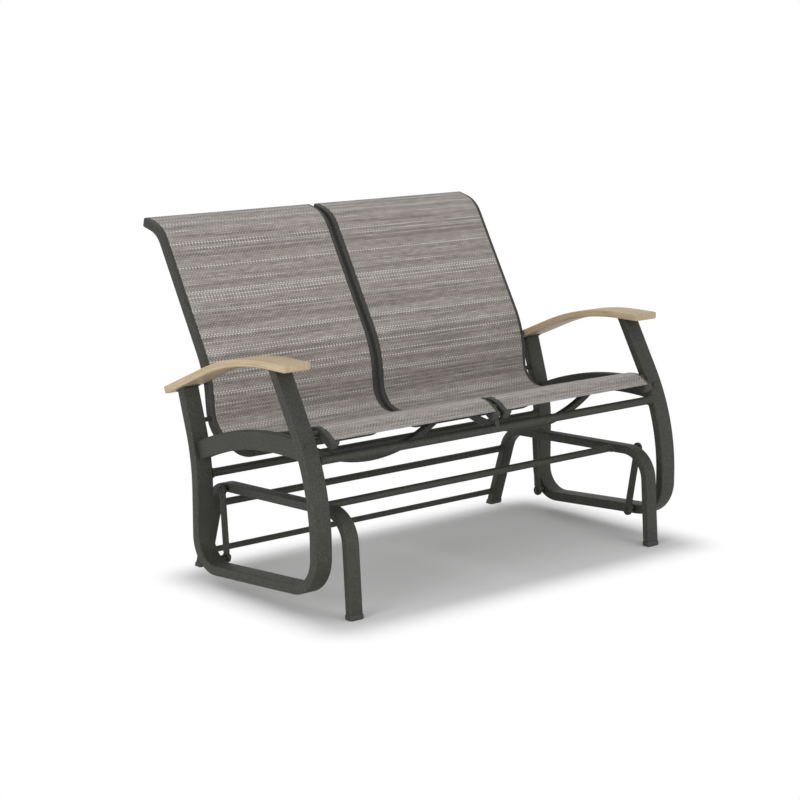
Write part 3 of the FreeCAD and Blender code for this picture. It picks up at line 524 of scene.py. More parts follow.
frameTube = {
    "middleX": 599.5, "width": 50.8, "depth": 25.4, "edge": 4.2,
    "corners": ((-221.9, 596.0), (-377.3, 328.4), (-377.3, 76.1), (102.3, 40.9), (102.3, 317.0), (159.2, 494.8)),
    "bends": (550.0, 87.0, 75.5, 492.7), "spare": 26.0,
}
arm = {
    "top": 615.0, "width": 80.0, "thickness": 19.0, "frontY": -294.0, "bendStartY": -220.2, "bendRadius": 690.0,
    "dropAngle": 23.0, "bendSteps": 12, "rearY": 210.0, "edge": 3.4, "edgeSteps": 4, "leastEdge": 0.25,
    "saddle": 3.0, "gap": 0.2,
}
drop = math.radians(arm["dropAngle"])
armBendY = arm["bendStartY"] + arm["bendRadius"] * math.tan(drop / 2)


def underArm(y, distance):
    # height at this distance under the sloping rear part of the arm's top
    return arm["top"] - math.tan(drop) * (y - armBendY) - distance / math.cos(drop)


underSaddle = arm["thickness"] + arm["gap"] * 2 + arm["saddle"]
(frontY, frontTop), (rearY, rearTop) = frameTube["corners"][0], frameTube["corners"][-1]
for name, side in ends:
    # the posts are drawn longer than needed, then cut along the arm's underside
    tube = endTube("sideFrame." + name, frameTube, side, frontTop + frameTube["spare"],
                   rearTop + frameTube["spare"], bendSteps=18)
    cutFlat(tube, (0, 0, arm["top"] - underSaddle), (0, 0, 1))
    cutFlat(tube, (0, rearY, underArm(rearY, underSaddle)), (0, math.sin(drop), math.cos(drop)))
    mount(tube, "seat", "frame_paint", "side_frame_" + name)

brace = {"width": 25.0, "height": 48.0, "edge": 3.6, "radius": 840.0, "topY": -237.0, "topZ": 411.5,
         "fromY": -336.0, "toY": 100.0, "steps": 40}


def arcLine(x, shape):
    middle = Vector((x, shape["topY"], shape["topZ"] - shape["radius"]))
    first, last = (math.asin((y - shape["topY"]) / shape["radius"]) for y in (shape["fromY"], shape["toY"]))
    line = []
    for step in range(shape["steps"] + 1):
        turn = first + (last - first) * step / shape["steps"]
        line.append(middle + Vector((0, math.sin(turn), math.cos(turn))) * shape["radius"])
    return line


for name, side in ends:
    section = roundedBox(brace["width"], brace["height"], brace["edge"])
    arch = sweepSection("sideBrace." + name, section, arcLine(frameTube["middleX"] * side, brace), powderCoat)
    mount(arch, "seat", "frame_paint", "side_brace_" + name)
print("stage: side frames and braces")


# round rails under the seat, flared where they are welded to the side frames

seatRails = {"front_seat_rail": (-336.0, 384.0), "rear_seat_rail": (103.5, 277.0), "across": 22.0, "flare": 33.0,
             "flareLength": 17.0, "flareSteps": 8, "flarePower": 2.4, "wall": 1.6}
railReach = frameTube["middleX"] - frameTube["width"] / 2 - base["weldGap"]
for node in ("front_seat_rail", "rear_seat_rail"):
    y, z = seatRails[node]
    outer, rise = seatRails["across"] / 2, (seatRails["flare"] - seatRails["across"]) / 2
    shares = [step / seatRails["flareSteps"] for step in range(seatRails["flareSteps"] + 1)]
    flare = [(railReach - seatRails["flareLength"] * (1 - share), outer + rise * share ** seatRails["flarePower"])
             for share in shares]
    profile = [(-x, r) for x, r in reversed(flare)] + flare
    profile += [(railReach, outer - seatRails["wall"]), (-railReach, outer - seatRails["wall"])]
    mount(lathe(node.replace("_", "."), profile, (0, y, z), powderCoat, count=48), "seat", "frame_paint", node)


# sling rails: channels that follow the seat line, open along the top where the hem of the sling goes in

seatLine = {
    "corners": ((407.0, 897.5), (339.0, 880.5), (136.2, 531.4), (117.0, 350.7), (-315.5, 462.5), (-362.0, 432.3)),
    "bends": (90.0, 270.0, 70.0, 65.0),
}
slingRail = {"across": 25.0, "wall": 1.6, "edge": 4.0, "slotInset": 14.0, "slot": 3.0, "outerX": 553.0, "gap": 14.0,
             "lip": 0.5}


def seatPath(x, turn=3.0):
    return bentLine([(x, y, z) for y, z in seatLine["corners"]], seatLine["bends"], turn)


def railSection(slotMiddle):
    # rounded channel: outside first, then the hollow inside; heights are counted from the top face
    half, wall, edge = slingRail["across"] / 2, slingRail["wall"], slingRail["edge"]
    left, right = slotMiddle - slingRail["slot"] / 2, slotMiddle + slingRail["slot"] / 2
    lip = slingRail["lip"]
    outside = roundedBox(slingRail["across"], slingRail["across"], edge, 4, (0.0, -half))
    # roundedBox starts at the upper right corner and goes round by the left
    section = [(right, -lip), (right + lip, 0.0)]
    for start in (0, 15, 10, 5):
        section += reversed(outside[start:start + 5])
    section += [(left - lip, 0.0), (left, -lip), (left, -wall), (wall - half, -wall), (wall - half, wall - 2 * half),
                (half - wall, wall - 2 * half), (half - wall, -wall), (right, -wall)]
    return section


def railPlace(which, side):
    # middle of the rail, and of its slot from there
    half = slingRail["across"] / 2
    if which == "outer":
        return (slingRail["outerX"] - half) * side, (half - slingRail["slotInset"]) * side
    return (slingRail["gap"] / 2 + half) * side, (slingRail["slotInset"] - half) * side


# the caps lie flat against the rail, then are rounded over: distance from the rail's end, and inset
cap = {"edge": 4.4, "edgeLoss": 0.3, "leastEdge": 1.2,
       "rings": ((0.2, 0.0), (2.0, 0.0), (3.1, 0.35), (4.0, 1.1), (4.7, 2.2), (5.0, 3.8))}
slotInner, slotOuter = (abs(sum(railPlace(which, 1))) for which in ("inner", "outer"))
capPieces = []
for name, side in ends:
    for which in ("outer", "inner"):
        middle, slot = railPlace(which, side)
        line = seatPath(middle)
        rail = sweepSection(f"slingRail.{which}.{name}", railSection(slot), line, powderCoat)
        mount(rail, "seat", "frame_paint", f"{which}_sling_rail_{name}")
        for tip, inward in ((line[0], line[1]), (line[-1], line[-2])):
            run = (tip - inward).normalized()
            under = alongX.cross(run)
            if under.z > 0:
                under = -under
            size, rings = slingRail["across"], []
            for depth, inset in cap["rings"]:
                edge = max(cap["edge"] - inset * cap["edgeLoss"], cap["leastEdge"])
                outline = roundedBox(size - inset * 2, size - inset * 2, edge, 4, (0.0, size / 2))
                rings.append([tip + run * depth + alongX * a + under * b for a, b in outline])
            capPieces.append(ringSolid("cap", rings, darkPlastic))
mount(joinMeshes("railEndCaps", capPieces), "seat", "dark_plastic", "rail_end_caps")
print("stage: seat rails, sling rails and caps")


# spreaders: bowed square tubes that hold each pair of sling rails apart

spreader = {"size": 19.0, "edge": 5.0, "sink": 3.6, "frontY": -172.0, "frontDrop": 175.0, "frontBend": 400.0,
            "rearY": 66.0, "rearDrop": 26.0, "rearBend": 60.0, "rearShoulder": 32.0, "backZ": 800.0}
railInner = slingRail["gap"] / 2 + slingRail["across"]
railOuter = slingRail["outerX"] - slingRail["across"]
spanHalf, spanMiddle = (railOuter - railInner) / 2, (railOuter + railInner) / 2
spreaderDepth = slingRail["across"] / 2 + spreader["sink"]
lineCorners = [Vector((0, y, z)) for y, z in seatLine["corners"]]
seatRun = (lineCorners[4] - lineCorners[3]).normalized()
backRun = (lineCorners[1] - lineCorners[2]).normalized()


def bowedRun(depth, shoulder=None):
    # corners of a bow as (sideways, up) from its ends
    beyond = spreader["size"]
    rise = beyond * depth / (shoulder or spanHalf)
    low = [(0.0, -depth)] if shoulder is None else [(shoulder - spanHalf, -depth), (spanHalf - shoulder, -depth)]
    return [(-spanHalf - beyond, rise)] + low + [(spanHalf + beyond, rise)]


def seatSpreader(node, side, run, bends, middle, up, back):
    # up is the direction from which the bow hangs down; back is square to it
    corners = [middle + alongX * a + up * b for a, b in run]
    tube = bentTube(node.replace("_", "."), corners, bends, spreader["size"], spreader["size"], spreader["edge"],
                    sideways=back, bendSteps=24)
    for way in (-1, 1):
        cutFlat(tube, (spanMiddle * side + (spanHalf - base["weldGap"]) * way, 0, 0), (way, 0, 0))
    mount(tube, "seat", "frame_paint", node)


shallow = (bowedRun(spreader["rearDrop"], spreader["rearShoulder"]), (spreader["rearBend"],) * 2)
for name, side in ends:
    x = spanMiddle * side
    for key, node, run, bends in (
            ("frontY", "front_spreader_", bowedRun(spreader["frontDrop"]), (spreader["frontBend"],)),
            ("rearY", "rear_spreader_", *shallow)):
        spot = between(lineCorners[3], lineCorners[4], 1, spreader[key])
        middle = Vector((x, spot.y, spot.z - spreaderDepth / abs(seatRun.y)))
        seatSpreader(node + name, side, run, bends, middle, Vector((0, 0, 1)), (0, 1, 0))
    spot = between(lineCorners[2], lineCorners[1], 2, spreader["backZ"])
    middle = Vector((x, spot.y + spreaderDepth / abs(backRun.z), spot.z))
    seatSpreader("back_spreader_" + name, side, *shallow, middle, Vector((0, -backRun.z, backRun.y)), backRun)
print("stage: spreaders")


# slings: woven bands stretched between the rails, their hems turned down into the slots

sling = {"thickness": 1.4, "standoff": 0.4, "endInset": 3.0, "hemDepth": 6.6, "columns": 44, "turnRadius": 1.2,
         "turnSteps": 4, "underLift": 0.08, "underInset": 1.5, "endHem": 17.0, "endHemStep": 0.8, "endHemRise": 0.35,
         "sag": 3.5, "sagStart": 120.0, "sagPower": 1.3, "rowLength": 14.0, "placeShift": 1000.0}


def slingSection(half):
    # top skin from one hem to the other, then the underside back; each point has its place across the cloth
    skin, rise, deep = sling["thickness"] / 2, sling["standoff"] + sling["thickness"], -sling["hemDepth"]
    turnRadius, turnSteps, columns = sling["turnRadius"], sling["turnSteps"], sling["columns"]
    top = [(-half - skin, deep, -half - sling["hemDepth"])]
    for step in range(turnSteps + 1):
        angle = math.pi - step * math.pi / 2 / turnSteps
        top.append((-half - skin + turnRadius * (1 + math.cos(angle)), rise - turnRadius * (1 - math.sin(angle)),
                    -half - turnRadius * (1 - step / turnSteps)))
    for step in range(1, columns):
        a = (-half + turnRadius) + (2 * half - 2 * turnRadius) * step / columns
        top.append((a, rise, a))
    top += [(-a, b, -c) for a, b, c in reversed(top[:turnSteps + 2])]
    under = [(half - skin, deep, half + sling["hemDepth"]), (half - skin, sling["underLift"], half)]
    for step in range(1, columns):
        a = (half - sling["underInset"]) * (1 - 2 * step / columns)
        under.append((a, sling["standoff"], a))
    under += [(-half + skin, sling["underLift"], -half), (-half + skin, deep, -half - sling["hemDepth"])]
    return top, under


def makeSling(name, side):
    middle, half = (slotInner + slotOuter) / 2 * side, (slotOuter - slotInner) / 2
    # more rows on the straight runs
    line, rows = seatPath(middle, 2.2), []
    for a, b in zip(line, line[1:]):
        parts = max(1, round((b - a).length / sling["rowLength"]))
        rows += [a.lerp(b, i / parts) for i in range(parts)]
    rows.append(line[-1])
    run, directions = alongLine(rows)
    total = run[-1]
    # rows by themselves at each end, a little short of the rails' ends, and on both sides of the end hem's step
    inset, hemEnd = sling["endInset"], sling["endInset"] + sling["endHem"]
    ownRows = (inset, hemEnd - sling["endHemStep"], hemEnd + sling["endHemStep"])
    spots = [(rows[0] + directions[0] * d, directions[0], d) for d in ownRows]
    spots += [item for item in zip(rows, directions, run) if hemEnd + 2 < item[2] < total - hemEnd - 2]
    spots += [(rows[-1] - directions[-1] * d, directions[-1], total - d) for d in reversed(ownRows)]
    top, under = slingSection(half)
    count = len(top) + len(under)
    start = sling["sagStart"]

    def pulledIn(a, distance):
        # tension draws the middle of the span a little into the hollow of the seat
        if not start < distance < total - start:
            return 0.0
        dip = math.cos(math.pi / 2 * min(1.0, abs(a) / half)) ** sling["sagPower"]
        return sling["sag"] * dip * max(0.0, math.sin(math.pi * (distance - start) / (total - 2 * start)))

    points, places = [], []
    for spot, direction, distance in spots:
        away = direction.cross(alongX)
        hem = sling["endHemRise"] if min(distance, total - distance) < hemEnd else 0.0
        for skin in (top, under):
            for a, b, c in skin:
                lift = hem if skin is top and abs(a) < half - 1 else 0.0
                points.append(spot + alongX * a + away * (b + lift - pulledIn(a, distance)))
                places.append((c, distance))
    # a band of rings, whose ends are closed below instead of by one face each
    faces = ringFaces(len(spots), count)[:-2]
    # the two cut ends, closed with strips from the top skin to the underside
    for first in (0, (len(spots) - 1) * count):
        n, m = len(top), len(under)
        upper = [first + j for j in range(n)]
        lower = [first + count - 1 - j for j in range(m)]
        i = j = 0
        while i < n - 1 or j < m - 1:
            if j == m - 1 or (i < n - 1 and i / (n - 1) <= j / (m - 1)):
                faces.append((upper[i], upper[i + 1], lower[j]))
                i += 1
            else:
                faces.append((upper[i], lower[j + 1], lower[j]))
                j += 1
    mesh = bpy.data.meshes.new("sling." + name)
    mesh.from_pydata([p * mm for p in points], [], faces)
    layer = mesh.uv_layers.new(name="clothPlace")
    for loop in mesh.loops:
        # shifted, so that no place is negative
        layer.data[loop.index].uv = [(value + sling["placeShift"]) * mm for value in places[loop.vertex_index]]
    mendMesh(mesh, merge=False)
    mesh.materials.append(slingWeave)
    smoothFaces(mesh, 50.0)
    piece = putInScene("sling." + name, mesh)
    mount(piece, "seat", "sling_fabric", "sling_" + name)


for name, side in ends:
    makeSling(name, side)
print("stage: slings")


# arm rests: boards bent down at the back, with eased edges and ends

def ringBoard(name, line):
    # a rounded section carried along a line, drawn in at both ends so that they are rounded too
    edge, steps = arm["edge"], arm["edgeSteps"]
    _, directions = alongLine(line)
    turns = [math.pi / 2 * step / steps for step in range(steps + 1)]
    # distance in from an end, and inset of the section
    eased = [(edge * (1 - math.cos(turn)), edge * (1 - math.sin(turn))) for turn in turns]
    rings = [(line[0] + directions[0] * back, directions[0], inset) for back, inset in eased]
    rings += [(spot, direction, 0.0) for spot, direction in list(zip(line, directions))[1:-1]]
    rings += [(line[-1] - directions[-1] * back, directions[-1], inset) for back, inset in reversed(eased)]
    outlines = [roundedBox(arm["width"] - inset * 2, arm["thickness"] - inset * 2, max(edge - inset, arm["leastEdge"]))
                for _, _, inset in rings]
    piece = ringSolid(name, [placed(outline, spot, direction)
                             for outline, (spot, direction, _) in zip(outlines, rings)], woodLook)
    layBoardPlace(piece.data, [spot for spot, _, _ in rings], outlines)
    return piece


def layBoardPlace(mesh, spots, outlines):
    # the grain's place: distance around the section, and distance along the bent board; a cut end shows the section
    full, count = outlines[len(spots) // 2], len(outlines[0])
    around, along = [0.0], [0.0]
    for (a, b), (nextA, nextB) in zip(full, full[1:] + full[:1]):
        around.append(around[-1] + math.hypot(nextA - a, nextB - b))
    for before, after in zip(spots, spots[1:]):
        along.append(along[-1] + (after - before).length)
    layer = mesh.uv_layers.new(name="boardPlace")
    for face in mesh.polygons:
        corners = [divmod(mesh.loops[i].vertex_index, count) for i in face.loop_indices]
        closing = len(corners) == 4 and {column for _, column in corners} == {0, count - 1}
        for i, (ring, column) in zip(face.loop_indices, corners):
            if len(corners) > 4:
                a, b = outlines[ring][column]
                spot = (a, along[ring] + b)
            else:
                spot = (around[count if closing and column == 0 else column], along[ring])
            # each board starts at its own place in the pattern
            layer.data[i].uv = ((spot[0] + spots[0].x) * mm, spot[1] * mm)


for name, side in ends:
    x, middleDepth = frameTube["middleX"] * side, arm["thickness"] / 2
    radius = arm["bendRadius"] - middleDepth
    line = [Vector((x, arm["frontY"], arm["top"] - middleDepth))]
    for step in range(arm["bendSteps"] + 1):
        turn = drop * step / arm["bendSteps"]
        line.append(Vector((x, arm["bendStartY"] + radius * math.sin(turn),
                            arm["top"] - arm["bendRadius"] + radius * math.cos(turn))))
    tip = Vector((x, arm["rearY"], underArm(arm["rearY"], 0.0)))
    line.append(tip - Vector((0, math.sin(drop), math.cos(drop))) * middleDepth)
    mount(ringBoard("arm." + name, line), "seat", "arm_board", "arm_" + name)


def plate(name, first, second, edge, steps):
    # a plate between two outlines, with its sharp edges rounded
    faces = ringFaces(2, len(first))
    piece = meshFrom(name, first + second, faces[-2:] + faces[:-2], powderCoat)
    with editing(piece.data) as work:
        sharp = [e for e in work.edges if e.calc_face_angle(0.0) > math.radians(40)]
        bmesh.ops.bevel(work, geom=sharp, offset=edge * mm, segments=steps, profile=0.5, affect="EDGES",
                        clamp_overlap=True)
    smoothFaces(piece.data)
    return piece


saddle = {"frontNose": 20.0, "frontTail": 2.0, "rearNose": 9.0, "rearTail": 7.0, "corner": 6.0, "edge": 0.5}


def saddlePlate(x, fromY, toY, height):
    # height gives the level of the upper face
    middle, length = (fromY + toY) / 2, toY - fromY
    outline = roundedBox(frameTube["width"], length, saddle["corner"], 5, (x, middle))
    lower, upper = ([(a, b, height(b) - down) for a, b in outline] for down in (arm["saddle"], 0.0))
    return plate("plate", lower, upper, saddle["edge"], 2)


half = frameTube["depth"] / 2
saddleDepth = arm["thickness"] + arm["gap"]
for key, node, y, height in (
        ("front", "front_arm_saddles", frontY, lambda y: arm["top"] - saddleDepth),
        ("rear", "rear_arm_saddles", rearY, lambda y: underArm(y, saddleDepth))):
    fromY, toY = y - half - saddle[key + "Nose"], y + half + saddle[key + "Tail"]
    plates = [saddlePlate(frameTube["middleX"] * side, fromY, toY, height) for _, side in ends]
    mount(joinMeshes(key + "ArmSaddles", plates), "seat", "frame_paint", node)
print("stage: arms and saddles")


# feet: moulded caps pushed over the leg ends

# each ring is a height over the floor, and an inset
foot = {"wall": 1.8, "corner": 5.0,
        "rings": ((0.0, 1.3), (0.5, 0.5), (1.3, 0.1), (2.4, 0.0), (10.6, 0.0), (11.5, 0.35), (12.0, 0.9))}
for node, low, high in (("front_feet", 0, 1), ("rear_feet", 3, 2)):
    (y, _), (topY, topZ) = base["corners"][low], base["corners"][high]
    lean = (topY - y) / topZ
    width = base["width"] + foot["wall"] * 2
    depth = (base["depth"] + foot["wall"] * 2) * math.sqrt(lean * lean + 1)
    caps = []
    for _, side in ends:
        rings = [[(a + base["middleX"] * side, b + y + lean * z, z)
                  for a, b in roundedBox(width - inset * 2, depth - inset * 2, foot["corner"], 5)]
                 for z, inset in foot["rings"]]
        caps.append(ringSolid("cap", rings, darkPlastic))
    mount(joinMeshes(node.replace("_", "."), caps), "base", "dark_plastic", node)


# spacers between the outer sling rails and the side frames, and the bracket under the middle rails

spacer = {"across": 11.0, "spots": ((-312.0, 446.0), (132.0, 410.0)), "fromX": 553.2, "toX": 573.9, "edge": 0.6}
bars = []
for _, side in ends:
    for y, z in spacer["spots"]:
        # a hexagon bar with a corner upwards
        r = spacer["across"] / math.sqrt(3)
        outline = [(y + r * math.sin(math.pi * i / 3), z + r * math.cos(math.pi * i / 3)) for i in range(6)]
        left, right = ([(x, *spot) for spot in outline] for x in sorted((spacer["fromX"] * side, spacer["toX"] * side)))
        bars.append(plate("spacer", left, right, spacer["edge"], 2))
mount(joinMeshes("railSpacers", bars), "seat", "frame_paint", "rail_spacers")

bracket = {"thickness": 13.6, "foot": 10.5, "head": 8.0, "clearance": 11.2, "top": (-328.0, 436.68), "edge": 1.2,
           "hollowSteps": 12}
(y, z), (topY, topZ), head = seatRails["front_seat_rail"], bracket["top"], bracket["head"]
r, f = bracket["clearance"], bracket["foot"]
rise = math.sqrt(r * r - f * f)
outline = [(y + f, z + rise), (topY + head, topZ + head), (topY - head, topZ + head), (y - f, z + rise)]
# the foot is hollowed to sit over the round rail
first, last = math.atan2(rise, -f), math.atan2(rise, f)
for step in range(1, bracket["hollowSteps"]):
    turn = first + (last - first) * step / bracket["hollowSteps"]
    outline.append((y + r * math.cos(turn), z + r * math.sin(turn)))
left, right = ([(x, *spot) for spot in outline] for x in (-bracket["thickness"] / 2, bracket["thickness"] / 2))
mount(plate("front.middle.bracket", left, right, bracket["edge"], 3), "seat", "frame_paint", "front_middle_bracket")
print("stage: feet, spacers and brackets")


# hanging links: a flat bar with a round eye at each end, and a nylon bush in every eye

link = {
    "middleX": 552.0, "eye": 27.0, "eyeLength": 8.0, "barWidth": 19.0, "barThickness": 8.0,
    "bore": 6.6, "edge": 0.9, "edgeShare": 0.3, "barEdge": 1.2, "barSink": 1.5, "bushProud": 0.15, "bushSink": 0.1,
    "front": ((-317.3, 251.834), (-285.2, 69.34)), "rear": ((84.2, 235.762), (69.3, 59.74)),
    "journal": 4.06, "openJournal": 5.3,
}
for place in ("front", "rear"):
    high, low = (Vector((0, *spot)) for spot in link[place])
    for name, side in ends:
        x = link["middleX"] * side
        half, r, e = link["eyeLength"] / 2, link["eye"] / 2, link["edge"]
        soft = e * link["edgeShare"]
        ring = [(-half, link["bore"]), (-half, r - e), (-half + soft, r - soft), (-half + e, r), (half - e, r),
                (half - soft, r - soft), (half, r - e), (half, link["bore"])]
        pieces = [lathe("eye", ring, (x, spot.y, spot.z), powderCoat, count=48) for spot in (high, low)]
        run = (high - low).normalized()
        start = r - link["barSink"]
        bar = [low + run * start + alongX * x, high - run * start + alongX * x]
        outline = roundedBox(link["barThickness"], link["barWidth"], link["barEdge"])
        pieces.append(sweepSection("bar", outline, bar, powderCoat))
        mount(joinMeshes(f"link.{place}.{name}", pieces), place + "_links", "frame_paint", f"{place}_link_{name}")
        rings = []
        outside, lip = link["bore"] - link["bushSink"], half + link["bushProud"]
        for spot, inside in ((high, link["journal"]), (low, link["openJournal" if place == "front" else "journal"])):
            profile = [(-lip, inside), (-lip, outside), (lip, outside), (lip, inside)]
            rings.append(lathe("bush", profile, (x, spot.y, spot.z), naturalNylon, count=36))
        mount(joinMeshes(f"bushes.{place}.{name}", rings), place + "_links", "dark_plastic")
print("stage: links")


# pivot bolts: a Geometry Nodes tree sets a collar, journal, hexagon head and washer on each point, along its direction

def makeBoltTree():
    tree, given = openTree("pivotBolt", "Spots", (
        "Shoulder Across", "Shoulder Length", "Journal Across", "Journal Length", "Head Across", "Head Height"))
    # the washer is a little narrower than the head, and the head is drawn in at its chamfer
    washer, washerShare, chamfer, chamferShare = 0.9 * mm, 0.49, 0.9 * mm, 0.84
    # the radius at a hexagon's corners is its width across the flats divided by the root of three
    shoulder = calculate(tree, "DIVIDE", given["Shoulder Across"], math.sqrt(3.0))
    journal = calculate(tree, "DIVIDE", given["Journal Across"], 2.0)
    head = calculate(tree, "DIVIDE", given["Head Across"], math.sqrt(3.0))
    disc = calculate(tree, "MULTIPLY", given["Head Across"], washerShare)
    parts, start = [], 0.0
    # sides, radius below, radius above and length; each part starts where the one before it ends
    for sides, low, high, length in (
            (6, shoulder, shoulder, given["Shoulder Length"]),
            (36, journal, journal, given["Journal Length"]),
            (36, disc, disc, washer),
            (6, head, head, calculate(tree, "SUBTRACT", given["Head Height"], chamfer + washer)),
            (6, head, calculate(tree, "MULTIPLY", head, chamferShare), chamfer)):
        cone = addNode(tree, "GeometryNodeMeshCone", {
            "Vertices": sides, "Radius Bottom": low, "Radius Top": high, "Depth": length})
        spot = addNode(tree, "ShaderNodeCombineXYZ", {"Z": start})
        parts.append(addNode(tree, "GeometryNodeTransform", {"Geometry": cone, "Translation": spot}))
        start = calculate(tree, "ADD", start, length)
    joined = addNode(tree, "GeometryNodeJoinGeometry")
    for part in reversed(parts):
        setInputs(tree, joined, {"Geometry": part})
    outward = addNode(tree, "GeometryNodeInputNamedAttribute", {"Name": "outward"}, {"data_type": "FLOAT_VECTOR"})
    turned = addNode(tree, "FunctionNodeAlignRotationToVector", {"Vector": outward.outputs["Attribute"]}, {"axis": "Z"})
    placed = addNode(tree, "GeometryNodeInstanceOnPoints", {
        "Points": given["Spots"], "Instance": joined, "Rotation": turned})
    return closeTree(tree, given, placed)


def spotsMesh(name, spots):
    # points with a direction each, in millimetres
    source = bpy.data.meshes.new(name)
    source.from_pydata([Vector(spot) * mm for spot, _ in spots], [], [])
    outward = source.attributes.new("outward", "FLOAT_VECTOR", "POINT")
    outward.data.foreach_set("vector", [value for _, way in spots for value in way])
    return source


boltTree = makeBoltTree()
bolts = {"base": {"from": 538.2, "way": 1, "shoulder": 9.4, "level": 0},
         "seat": {"from": 573.9, "way": -1, "shoulder": 17.5, "level": 1},
         "sizes": {"Shoulder Across": 14.0, "Journal Across": 8.0, "Journal Length": 8.8, "Head Across": 13.0,
                   "Head Height": 5.5}}
for body in ("base", "seat"):
    rule = bolts[body]
    spots = [((rule["from"] * side, *link[place][rule["level"]]), (rule["way"] * side, 0, 0))
             for place in ("front", "rear") for _, side in ends]
    piece = runTree(body + "PivotBolts", boltTree, spotsMesh(body + "BoltSpots", spots), boltSteel,
                    {**bolts["sizes"], "Shoulder Length": rule["shoulder"]})
    mount(piece, body, "bolt_steel", body + "_pivot_bolts")
print("stage: pivot bolts")


# stitches: one Geometry Nodes tree lays thread loops along a row

def makeStitchTree():
    tree, given = openTree("stitchRow", "Rows", ("Pitch", "Stitch Length", "Thread Across"))
    rows = addNode(tree, "GeometryNodeMeshToCurve", {"Mesh": given["Rows"]})
    spots = addNode(tree, "GeometryNodeCurveToPoints", {"Curve": rows, "Length": given["Pitch"]}, {"mode": "LENGTH"})
    radius = calculate(tree, "DIVIDE", given["Thread Across"], 2.0)
    loop = addNode(tree, "GeometryNodeMeshUVSphere", {"Segments": 6, "Rings": 4, "Radius": radius})
    stretch = calculate(tree, "DIVIDE", given["Stitch Length"], given["Thread Across"])
    scale = addNode(tree, "ShaderNodeCombineXYZ", {"X": 1.0, "Y": 1.0, "Z": stretch})
    placed = addNode(tree, "GeometryNodeInstanceOnPoints", {
        "Points": spots, "Instance": loop, "Rotation": spots.outputs["Rotation"], "Scale": scale})
    return closeTree(tree, given, placed)


stitch = {"fromEnd": 14.0, "side": 8.0, "sizes": {"Pitch": 5.5, "Stitch Length": 4.0, "Thread Across": 1.1}}
stitchTree = makeStitchTree()
line, rows = seatPath(0.0), []
_, directions = alongLine(line)
lift = sling["standoff"] + sling["thickness"] + sling["endHemRise"]
for _, side in ends:
    for tip, direction, way in ((line[0], directions[0], 1), (line[-1], directions[-1], -1)):
        level = tip + direction * way * (sling["endInset"] + stitch["fromEnd"]) + direction.cross(alongX) * lift
        rows.append([level + alongX * x * side for x in (slotInner + stitch["side"], slotOuter - stitch["side"])])
source = bpy.data.meshes.new("stitchRows")
source.from_pydata([p * mm for row in rows for p in row], [(2 * i, 2 * i + 1) for i in range(len(rows))], [])
mount(runTree("endHemStitches", stitchTree, source, threadYarn, stitch["sizes"]), "seat", "sling_fabric")
print("stage: stitches")


# floor, lights and camera

def makeStudioFloor():
    # matt paper: keeps the bench's shadow under it, and goes to plain white further out for the camera; in metres
    footprint = {"halfX": 0.57, "halfY": 0.275, "middleY": -0.152, "fade": 0.16}
    material, tree, shader = newMaterial("mattPaperFloor")
    setInputs(tree, shader, {"Base Color": toLinear("#efefef"), "Roughness": 0.95, "Specular IOR Level": 0.0})

    def measure(operation, *vectors):
        return addNode(tree, "ShaderNodeVectorMath", dict(enumerate(vectors)), {"operation": operation})

    # how far a spot lies outside the bench's footprint
    spot = measure("SUBTRACT", objectPlace(tree), (0.0, footprint["middleY"], 0.0))
    beyond = measure("SUBTRACT", measure("ABSOLUTE", spot), (footprint["halfX"], footprint["halfY"], 0.0))
    away = measure("LENGTH", measure("MAXIMUM", beyond, (0.0, 0.0, 0.0))).outputs["Value"]
    far = addNode(tree, "ShaderNodeMapRange", {
        "Value": away, "From Min": 0.0, "From Max": footprint["fade"]}, {"interpolation_type": "SMOOTHSTEP"})
    white = addNode(tree, "ShaderNodeEmission", {"Color": (1.0, 1.0, 1.0, 1.0), "Strength": 1.0})
    blend = addNode(tree, "ShaderNodeMixShader", {
        0: calculate(tree, "MULTIPLY", far, seenRay(tree)), 1: shader, 2: white})
    setInputs(tree, next(n for n in tree.nodes if n.type == "OUTPUT_MATERIAL"), {"Surface": blend})
    return material


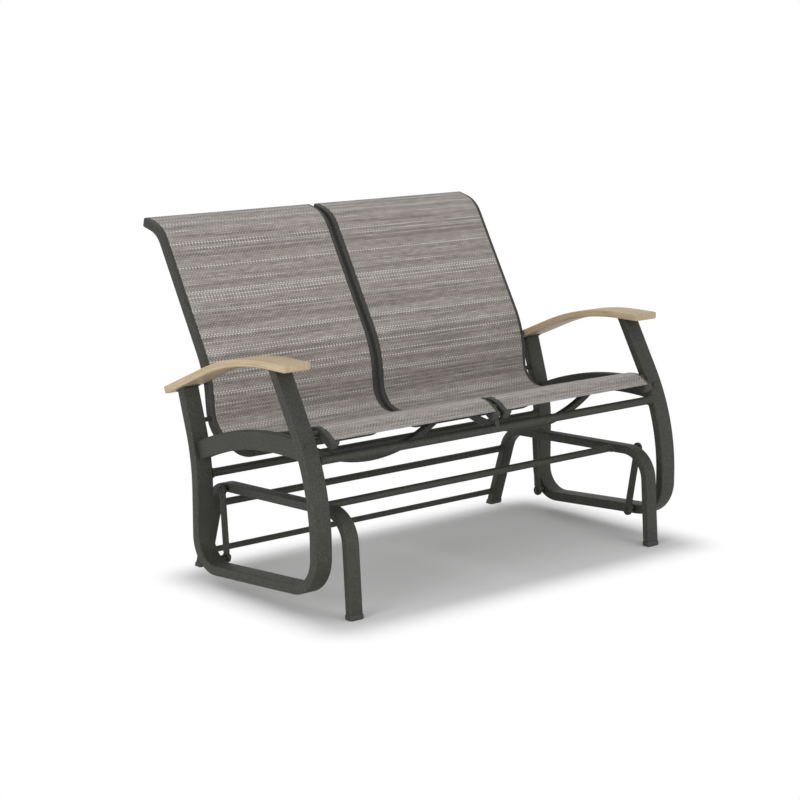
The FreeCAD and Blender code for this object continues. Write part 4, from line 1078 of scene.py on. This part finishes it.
def seenRay(tree):
    # 1 for what the camera sees, directly or in gloss and glass
    ray = addNode(tree, "ShaderNodeLightPath").outputs
    mirrored = calculate(tree, "MAXIMUM", ray["Is Glossy Ray"], ray["Is Transmission Ray"])
    return calculate(tree, "MAXIMUM", ray["Is Camera Ray"], mirrored)


paper = {"half": 40.0, "drop": 0.0005}
floorMesh = bpy.data.meshes.new("studioFloor")
floorMesh.from_pydata([(x * paper["half"], y * paper["half"], 0) for x, y in ((-1, -1), (1, -1), (1, 1), (-1, 1))],
                      [], [(0, 1, 2, 3)])
floorMesh.materials.append(makeStudioFloor())
floor = putInScene("studioFloor", floorMesh)
floor.location.z = -paper["drop"]

world = bpy.data.worlds.new("studioWorld")
world.use_nodes = True
bpy.context.scene.world = world
tree = world.node_tree
sky = next(n for n in tree.nodes if n.type == "BACKGROUND")
setInputs(tree, sky, {"Strength": ranged(tree, seenRay(tree), 0.0, 1.0, 0.62, 1.0), "Color": (1.0, 1.0, 1.0, 1.0)})

# place and aim in metres, size, and power; the lamp overhead stands a little behind the bench, so that the shadow lies
# under it
lamps = {
    "overheadLamp": ((0.0, 0.9, 4.3), (0, 0, 0), 1.1, 32),
    "leftLamp": ((-4.2, -1.4, 1.0), (0, 0, 0.5), 2.0, 84),
    "frontLamp": ((1.0, -4.4, 1.0), (0, 0, 0.5), 2.0, 44),
}
for name, (spot, aim, size, power) in lamps.items():
    lamp = bpy.data.lights.new(name, "AREA")
    lamp.size, lamp.energy = size, power
    holder = putInScene(name, lamp)
    holder.location = spot
    holder.rotation_euler = (Vector(aim) - Vector(spot)).to_track_quat("-Z", "Y").to_euler()

# spot in metres, heading and downward angle in degrees
view = {"lens": 93.370, "spot": (-3.5385, -4.0971, 1.4783), "heading": 40.5693, "downward": 11.1916}
camera = bpy.data.cameras.new("photoCamera")
camera.lens = view["lens"]
camera.sensor_width = 36.0
camera.clip_end = 200.0
holder = putInScene("photoCamera", camera)
holder.location = view["spot"]
holder.rotation_euler = (math.radians(90 - view["downward"]), 0, math.radians(-view["heading"]))
bpy.context.scene.camera = holder
bpy.context.scene.view_settings.view_transform = "Standard"
print("stage: floor, lights and camera")
